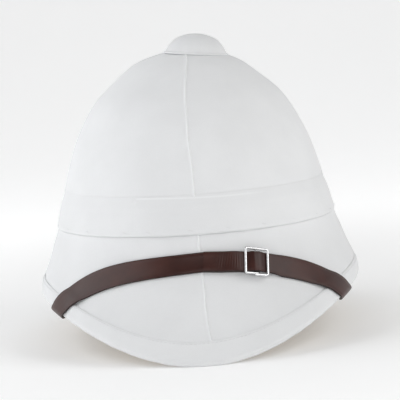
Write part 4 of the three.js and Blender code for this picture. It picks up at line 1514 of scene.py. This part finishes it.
def right_leather():
    """It goes under the frame, over the bar and under the frame again, and ends in the free tail."""
    look = bpy.context.scene.pith_helmet
    mid = STRAP_THICKNESS / 2
    bar = BUCKLE_PLACE
    tail_end = bar - BUCKLE_LENGTH / 2 - STRAP_TAIL_LENGTH
    run = [
        (tail_end, TAIL_LOW), (tail_end + STRAP_TAIL_LENGTH * 0.5, TAIL_LOW),
        (bar - FRAME_INNER_HALF - BUCKLE_WIRE_WIDTH / 2, TAIL_LOW),
        (bar - FRAME_INNER_HALF + BUCKLE_WIRE_WIDTH / 4, TAIL_LOW),
        (bar - HOOK_END, OVER_BAR), (bar, OVER_BAR), (bar + HOOK_END, OVER_BAR),
        (bar + FRAME_INNER_HALF - BUCKLE_WIRE_WIDTH / 4, TAIL_LOW),
        (bar + FRAME_INNER_HALF + BUCKLE_WIRE_WIDTH, TAIL_LOW),
        (bar + BUCKLE_LENGTH / 2 + STRAP_WIDTH / 2, 0.0), (bar + BUCKLE_LENGTH / 2 + STRAP_WIDTH, 0.0),
        (RIGHT_STUD + STRAP_END_PAST_STUD, 0.0),
    ]
    run = rounded_run([(d, level + mid) for d, level in run])
    ribs = (tail_end + RIBS_FROM_END, bar - BUCKLE_LENGTH / 2, look.rib_pitch, look.rib_depth)

    def thickness(at, path):
        return np.full(len(at), STRAP_THICKNESS)

    made = strap_leather("strap_right", run, thickness, RIBBED_STEP, ribs)
    return dress(made, "leather", "chin_strap_right")


def left_leather():
    """It lies on the cloth, and its thinned end is turned over the bar."""
    bar = BUCKLE_PLACE
    thin_from = bar - HOOK_END - STRAP_WIDTH / 2
    side = BUCKLE_BAR_WIDTH / 2 + CLEARANCE
    half_thin = STRAP_TURNED_THICKNESS / 2
    outer = side + half_thin
    run = [
        (LEFT_STUD - STRAP_END_PAST_STUD, STRAP_THICKNESS / 2), (0.0, STRAP_THICKNESS / 2),
        (thin_from, STRAP_THICKNESS / 2), (thin_from + THINNING_LENGTH, half_thin), (bar, half_thin),
        (bar + outer, half_thin), (bar + outer, (BAR_LOW + BAR_HIGH) / 2),
        (bar + outer, HOOK_HIGH - half_thin), (bar, HOOK_HIGH - half_thin),
        (bar - HOOK_END, HOOK_HIGH - half_thin),
    ]
    run = rounded_run(run)

    def thickness(at, path):
        past = np.maximum.accumulate(path[:, 0])
        thinning = smooth_step(past, thin_from - THINNING_AHEAD, thin_from + THINNING_LENGTH)
        return lerp(STRAP_THICKNESS, STRAP_TURNED_THICKNESS, thinning)

    made = strap_leather("strap_left", run, thickness, PLAIN_STEP)
    return dress(made, "leather", "chin_strap_left")


def strap_studs():
    """Domed heads that hold each end of the strap inside the shell."""
    head_low = STRAP_THICKNESS + CLEARANCE
    rim = 0.0004
    dome = [(STUD_HEAD_RADIUS * math.cos(a), head_low + rim + (STUD_HEAD_THICKNESS - rim) * math.sin(a))
            for a in np.linspace(0, math.pi / 2, 9)]
    profile = [(0.0, -STUD_DEPTH), (STUD_STEM_RADIUS, -STUD_DEPTH), (STUD_STEM_RADIUS, head_low),
               (STUD_HEAD_RADIUS * 0.96, head_low)] + dome[:-1] + [(0.0, dome[-1][1])]
    for side, distance in (("right", RIGHT_STUD), ("left", LEFT_STUD)):
        made = lathe(f"stud_{side}", profile, frame_on_strap(distance), finishes()["brass"], 48)
        dress(made, "brass", f"strap_stud_{side}")


def wire_sweep(points, width, thickness, up, corner):
    """Loops of a flat wire along an open line. up is the direction of its thickness."""
    tangent = unit(np.gradient(points, axis=0))
    side = unit(np.cross(tangent, up))
    rise = np.cross(side, tangent)
    corners = []
    for sx, sy in ((1, 1), (-1, 1), (-1, -1), (1, -1)):
        base = math.atan2(sy, sx) - math.pi / 4
        for a in np.linspace(base, base + math.pi / 2, 5):
            corners.append((sx * (width / 2 - corner) + corner * math.cos(a),
                            sy * (thickness / 2 - corner) + corner * math.sin(a)))
    profile = np.array(corners)
    return points[:, None] + side[:, None] * profile[None, :, :1] + rise[:, None] * profile[None, :, 1:]


def frame_line(half_x, half_y, corner, start_x, steps):
    """A rectangle's line with round corners, from its bottom side round to the bottom side again."""
    spots = [(start_x, -half_y), (half_x, -half_y), (half_x, half_y), (-half_x, half_y), (-half_x, -half_y),
             (start_x, -half_y)]
    line = [spots[0]]
    for before, here, after in zip(spots[:-2], spots[1:-1], spots[2:]):
        before, here, after = (np.array(v, float) for v in (before, here, after))
        come, leave = unit(before - here), unit(after - here)
        centre = here + corner * (come + leave)
        for t in np.linspace(0, math.pi / 2, steps):
            line.append(tuple(centre - corner * leave * math.cos(t) - corner * come * math.sin(t)))
    line.append(spots[-1])
    return np.array(line)


# The buckle's frame: its corners, where its wire's ends meet, and the share of the wire that each end takes
FRAME_CORNER = 0.0012
FRAME_JOIN = -0.0004
FRAME_CORNER_STEPS = 6
WIRE_END_SHARE = 0.08

# How far the wire's first and last ends are out of line, and how far each reaches past the join
FIRST_END_DROP = 0.0006
LAST_END_RISE = 0.0005
FIRST_END_REACH = 0.0012
LAST_END_REACH = 0.0014


def buckle():
    """A frame of flat wire whose ends meet on the lower side, with its lower set bar."""
    look = bpy.context.scene.pith_helmet
    steel = finishes()["steel"]
    level = (FRAME_LOW + FRAME_HIGH) / 2
    half_x = (BUCKLE_LENGTH - BUCKLE_WIRE_WIDTH) / 2
    half_y = (BUCKLE_HEIGHT - BUCKLE_WIRE_WIDTH) / 2
    line = frame_line(half_x, half_y, FRAME_CORNER, FRAME_JOIN, FRAME_CORNER_STEPS)
    share = np.linspace(0, 1, len(line))
    from_last = 1 - WIRE_END_SHARE
    line[:, 1] -= FIRST_END_DROP * np.clip(1 - share / WIRE_END_SHARE, 0, 1)
    line[:, 1] += LAST_END_RISE * np.clip((share - from_last) / WIRE_END_SHARE, 0, 1)
    line[0, 0] -= FIRST_END_REACH
    line[-1, 0] += LAST_END_REACH
    turned_x = line[:, 0] * math.cos(BUCKLE_TURN) + line[:, 1] * math.sin(BUCKLE_TURN)
    turned_y = line[:, 1] * math.cos(BUCKLE_TURN) - line[:, 0] * math.sin(BUCKLE_TURN)
    points = placed(BUCKLE_FRAME, turned_x, turned_y, np.full(len(line), level))
    up = BUCKLE_FRAME[2]
    frame_loops = wire_sweep(points, look.wire_width, BUCKLE_WIRE_THICKNESS, up, look.wire_width * 0.4)
    bar_level = (BAR_LOW + BAR_HIGH) / 2
    corners = [(-half_y, level), (-half_y, bar_level), (0, bar_level), (half_y, bar_level), (half_y, level)]
    run = rounded_run(corners)
    bar_points = placed(BUCKLE_FRAME, np.zeros(len(run)), run[:, 0], run[:, 1])
    bar_loops = wire_sweep(bar_points, BUCKLE_BAR_WIDTH, BUCKLE_BAR_THICKNESS, BUCKLE_FRAME[0], 0.0004)
    pieces = []
    for name, loops in (("buckle_frame", frame_loops), ("buckle_bar", bar_loops)):
        along = np.arange(loops.shape[0]) * 0.001
        around = np.arange(loops.shape[1] + 1) * 0.0003
        pieces.append(loft(name, loops, along, around, steel, False, 35))
    bpy.ops.object.select_all(action="DESELECT")
    for piece in pieces:
        piece.select_set(True)
    bpy.context.view_layer.objects.active = pieces[0]
    bpy.ops.object.join()
    pieces[0].name = "wire_buckle"
    return dress(pieces[0], "steel", "buckle")


# Stage

StudioLight = namedtuple("StudioLight", "name power azimuth elevation distance size colour")

# power is a setting's name, azimuth 0 is in front, and it grows to the viewer's right
LIGHTS = (
    StudioLight("left_panel", "left_light", -80, 30, 1.3, (1.5, 1.3), (0.98, 0.99, 1.0)),
    StudioLight("right_panel", "right_light", 64, 31, 1.5, (1.35, 1.2), (1.0, 0.995, 0.98)),
    StudioLight("front_fill", "front_light", -2, 16, 2.4, (1.3, 0.7), (1.0, 1.0, 1.0)),
)

# The floor's width and front edge, and the backdrop's place, height and bend from the floor
FLOOR_WIDTH = 24.0
FLOOR_FRONT = -12.0
BACKDROP_PLACE = 3.0
BACKDROP_HEIGHT = 5.0
BACKDROP_BEND = 1.5


def area_light(light, watts):
    """A rectangular soft light aimed at the helmet."""
    data = bpy.data.lights.new(light.name, "AREA")
    data.shape = "RECTANGLE"
    data.size, data.size_y = light.size
    data.energy = watts
    data.color = light.colour
    made = bpy.data.objects.new(light.name, data)
    bpy.context.scene.collection.objects.link(made)
    a, e = math.radians(light.azimuth), math.radians(light.elevation)
    away = Vector((math.sin(a) * math.cos(e), -math.cos(a) * math.cos(e), math.sin(e)))
    made.location = Vector(CAMERA_TARGET) + away * light.distance
    made.rotation_mode = "QUATERNION"
    made.rotation_quaternion = (-away).to_track_quat("-Z", "Y")


def floor_finish(look):
    """A pale floor with a painted glow: a little round the helmet, where it stands as a painted soft shadow,
    and more farther out.
    """
    finish, tree, shader, spot = new_finish("pale_floor")
    away = node(tree, "ShaderNodeVectorMath", {0: spot}, operation="LENGTH").outputs["Value"]
    # Painted glow of a floor that is no lamp, kept low near the helmet as a painted shadow
    glow = node(tree, "ShaderNodeMapRange", {
        "Value": away,
        "From Min": FLOOR_PAINTED_SHADOW_REACH,
        "From Max": FLOOR_FULL_GLOW_FROM,
        "To Min": look.near_floor_painted_glow,
        "To Max": look.far_floor_painted_glow,
    })
    glow.interpolation_type = "SMOOTHSTEP"
    feed(tree, shader, {
        "Base Color": mix_colour(tree, noise(tree, spot, 3.0), (0.86, 0.86, 0.86, 1), (0.88, 0.88, 0.88, 1)),
        "Emission Strength": glow.outputs["Result"],
        "Emission Color": (1, 1, 1, 1),
        "Roughness": 0.9,
        "Specular IOR Level": 0.1,
    })
    return finish


def floor_shape(finish):
    """The floor and the backdrop that it bends up into."""
    turn_from = BACKDROP_PLACE - BACKDROP_BEND
    profile = [(FLOOR_FRONT, 0.0), (turn_from, 0.0)]
    profile += [(turn_from + BACKDROP_BEND * math.sin(a), BACKDROP_BEND - BACKDROP_BEND * math.cos(a))
                for a in np.linspace(0, math.pi / 2, 16)[1:]]
    profile.append((BACKDROP_PLACE, BACKDROP_HEIGHT))
    points = [(side * FLOOR_WIDTH / 2, y, z) for y, z in profile for side in (-1, 1)]
    faces = [(2 * i, 2 * i + 1, 2 * i + 3, 2 * i + 2) for i in range(len(profile) - 1)]
    return mesh_object("studio_floor", np.array(points), faces, finish)


def photo_camera():
    """The camera that took the photo, leaning as it did."""
    camera = bpy.data.objects.new("photo_camera", bpy.data.cameras.new("photo_camera"))
    bpy.context.scene.collection.objects.link(camera)
    camera.data.sensor_width = SENSOR_WIDTH * 1000
    camera.data.lens = SENSOR_WIDTH * 1000 * CAMERA_DISTANCE / PICTURE_WIDTH
    camera.data.clip_start, camera.data.clip_end = 0.05, 50.0
    back_way = Vector((0.0, -math.cos(CAMERA_ELEVATION), math.sin(CAMERA_ELEVATION)))
    camera.location = Vector(CAMERA_TARGET) + back_way * CAMERA_DISTANCE
    look_way = (-back_way).to_track_quat("-Z", "Y").to_matrix()
    camera.rotation_mode = "QUATERNION"
    camera.rotation_quaternion = (look_way @ Matrix.Rotation(CAMERA_ROLL, 3, "Z")).to_quaternion()
    return camera


def studio():
    """A pale floor that curves up behind, soft lights and the camera."""
    look = bpy.context.scene.pith_helmet
    scene = bpy.context.scene
    floor = floor_shape(floor_finish(look))
    world = bpy.data.worlds.new("studio_air")
    scene.world = world
    world.use_nodes = True
    air = world.node_tree.nodes["Background"]
    air.inputs["Color"].default_value = (0.97, 0.985, 1.0, 1)
    air.inputs["Strength"].default_value = look.air_light
    for light in LIGHTS:
        area_light(light, getattr(look, light.power))
    scene.camera = photo_camera()
    scene.view_settings.view_transform = "Standard"


# Add-on

def colour_property(name, description, default):
    return bpy.props.FloatVectorProperty(
        name=name, description=description, default=default, size=3, min=0.0, max=1.0, subtype="COLOR"
    )


def length_property(name, description, default, low, high):
    return bpy.props.FloatProperty(
        name=name, description=description, default=default, min=low, max=high, precision=5,
        subtype="DISTANCE", unit="LENGTH",
    )


def count_property(name, description, default, low, high):
    return bpy.props.IntProperty(name=name, description=description, default=default, min=low, max=high)


def power_property(name, description, default):
    return bpy.props.FloatProperty(
        name=name, description=description, default=default, min=0.0, unit="POWER"
    )


def strength_property(name, description, default):
    return bpy.props.FloatProperty(name=name, description=description, default=default, min=0.0)


class PithHelmetLook(bpy.types.PropertyGroup):
    """Sizes and colours of the helmet's finish."""

    cloth_colour: colour_property("Cloth", "Colour of the white cotton", (0.818, 0.824, 0.832))
    leather_colour: colour_property("Leather", "Colour of the chin strap", (0.044, 0.0122, 0.0085))
    buckle_colour: colour_property("Buckle", "Colour of the buckle's wire", (0.72, 0.725, 0.735))
    brass_colour: colour_property("Brass", "Colour of the post and the studs", (0.52, 0.36, 0.13))
    pith_colour: colour_property("Pith", "Colour of the bare pith inside", (0.62, 0.5, 0.32))
    seam_height: length_property("Seam height", "How proud a lapped seam stands", 0.001, 0.0, 0.002)
    under_lap_lift: length_property("Under lap", "How far a seam lifts the lower panel", 0.00012, 0.0, 0.001)
    cloth_unevenness: length_property("Unevenness", "Soft lumps of the cloth", 0.0002, 0.0, 0.002)
    wire_width: length_property("Wire width", "Width of the buckle's flat wire", 0.0018, 0.001, 0.0025)
    fold_end_height: length_property("Fold end", "Height of the end of the band's fold", 0.0006, 0.0, 0.002)
    band_gap: length_property("Band gap", "From the cloth to the band's upper edge", 0.00015, 0.0, 0.001)
    stitch_pitch: length_property("Stitch pitch", "From one stitch to the next", 0.0032, 0.001, 0.01)
    stitch_inset: length_property("Stitch inset", "From the strip's edge to them", 0.0022, 0.0005, 0.006)
    thread_radius: length_property("Thread radius", "Half the thread's thickness", 0.00022, 0.0001, 0.001)
    rib_pitch: length_property("Rib pitch", "Between the pressed lines of the tail", 0.0019, 0.001, 0.01)
    rib_depth: length_property("Rib depth", "Depth of the pressed lines", 0.00012, 0.0, 0.0004)
    panel_rows: count_property("Panel rows", "Rows of faces down a cloth panel", 110, 20, 200)
    panel_columns: count_property("Panel columns", "Even columns of a cloth panel", 70, 10, 200)
    round_columns: count_property("Shell columns", "Columns round the pith shell", 240, 40, 720)
    binding_columns: count_property("Strip columns", "Columns round the binding and the band", 960, 60, 1440)
    left_light: power_property("Left panel", "Light from the left", 10.9)
    right_light: power_property("Right panel", "Light from the right", 10.1)
    front_light: power_property("Front fill", "Light from in front", 9.4)
    air_light: strength_property("Air", "Even light from all round", 0.175)
    # The floor's painted glow: low near the helmet as a painted shadow, higher farther out
    near_floor_painted_glow: strength_property("Floor glow", "Light of the floor itself, as on a light table", 0.198)
    far_floor_painted_glow: strength_property("Backdrop glow", "Light of the floor and backdrop farther out", 0.457)


class HelmetOperator:
    """What the helmet's operators share."""

    bl_options = {"REGISTER", "UNDO"}

    def execute(self, context):
        self.make()
        return {"FINISHED"}


class HELMET_OT_pith_body(HelmetOperator, bpy.types.Operator):
    """Make the pith shell"""

    bl_idname = "helmet.pith_body"
    bl_label = "Pith shell"

    def make(self):
        pith_body()


class HELMET_OT_cloth_cover(HelmetOperator, bpy.types.Operator):
    """Make the four cloth panels"""

    bl_idname = "helmet.cloth_cover"
    bl_label = "Cloth panels"

    def make(self):
        for name, first_degree, lap_start, lap_end in PANELS:
            cloth_panel(name, first_degree, lap_start, lap_end)


class HELMET_OT_binding(HelmetOperator, bpy.types.Operator):
    """Make the strip round the brim's edge with its stitches"""

    bl_idname = "helmet.binding"
    bl_label = "Edge binding"

    def make(self):
        edge_binding()
        binding_stitches()


class HELMET_OT_puggaree(HelmetOperator, bpy.types.Operator):
    """Make the band round the crown with its tack stitches"""

    bl_idname = "helmet.puggaree"
    bl_label = "Puggaree"

    def make(self):
        puggaree_band()
        tack_stitches()


class HELMET_OT_ventilator(HelmetOperator, bpy.types.Operator):
    """Make the ventilator's cap and its post"""

    bl_idname = "helmet.ventilator"
    bl_label = "Ventilator"

    def make(self):
        vent_cap()
        vent_post()


class HELMET_OT_chin_strap(HelmetOperator, bpy.types.Operator):
    """Make the two leathers of the chin strap and their studs"""

    bl_idname = "helmet.chin_strap"
    bl_label = "Chin strap"

    def make(self):
        left_leather()
        right_leather()
        strap_studs()


class HELMET_OT_buckle(HelmetOperator, bpy.types.Operator):
    """Make the wire buckle"""

    bl_idname = "helmet.buckle"
    bl_label = "Buckle"

    def make(self):
        buckle()


class HELMET_OT_studio(HelmetOperator, bpy.types.Operator):
    """Make the floor, the lights and the camera"""

    bl_idname = "helmet.studio"
    bl_label = "Studio"

    def make(self):
        studio()


STEPS = (
    HELMET_OT_studio,
    HELMET_OT_pith_body,
    HELMET_OT_cloth_cover,
    HELMET_OT_binding,
    HELMET_OT_puggaree,
    HELMET_OT_ventilator,
    HELMET_OT_chin_strap,
    HELMET_OT_buckle,
)


class HELMET_PT_panel(bpy.types.Panel):
    """Lists the helmet's pieces and its look."""

    bl_idname = "HELMET_PT_panel"
    bl_label = "Pith helmet"
    bl_space_type = "VIEW_3D"
    bl_region_type = "UI"
    bl_category = "Pith helmet"

    def draw(self, context):
        look = context.scene.pith_helmet
        for step in STEPS:
            self.layout.operator(step.bl_idname)
        for name in PithHelmetLook.__annotations__:
            self.layout.prop(look, name)


CLASSES = (PithHelmetLook, *STEPS, HELMET_PT_panel)


def register():
    for one in CLASSES:
        bpy.utils.register_class(one)
    bpy.types.Scene.pith_helmet = bpy.props.PointerProperty(type=PithHelmetLook)


def unregister():
    del bpy.types.Scene.pith_helmet
    for one in reversed(CLASSES):
        bpy.utils.unregister_class(one)


def main():
    register()
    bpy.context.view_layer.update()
    for step in STEPS:
        group, name = step.bl_idname.split(".")
        getattr(getattr(bpy.ops, group), name)()


if __name__ == "__main__":
    main()
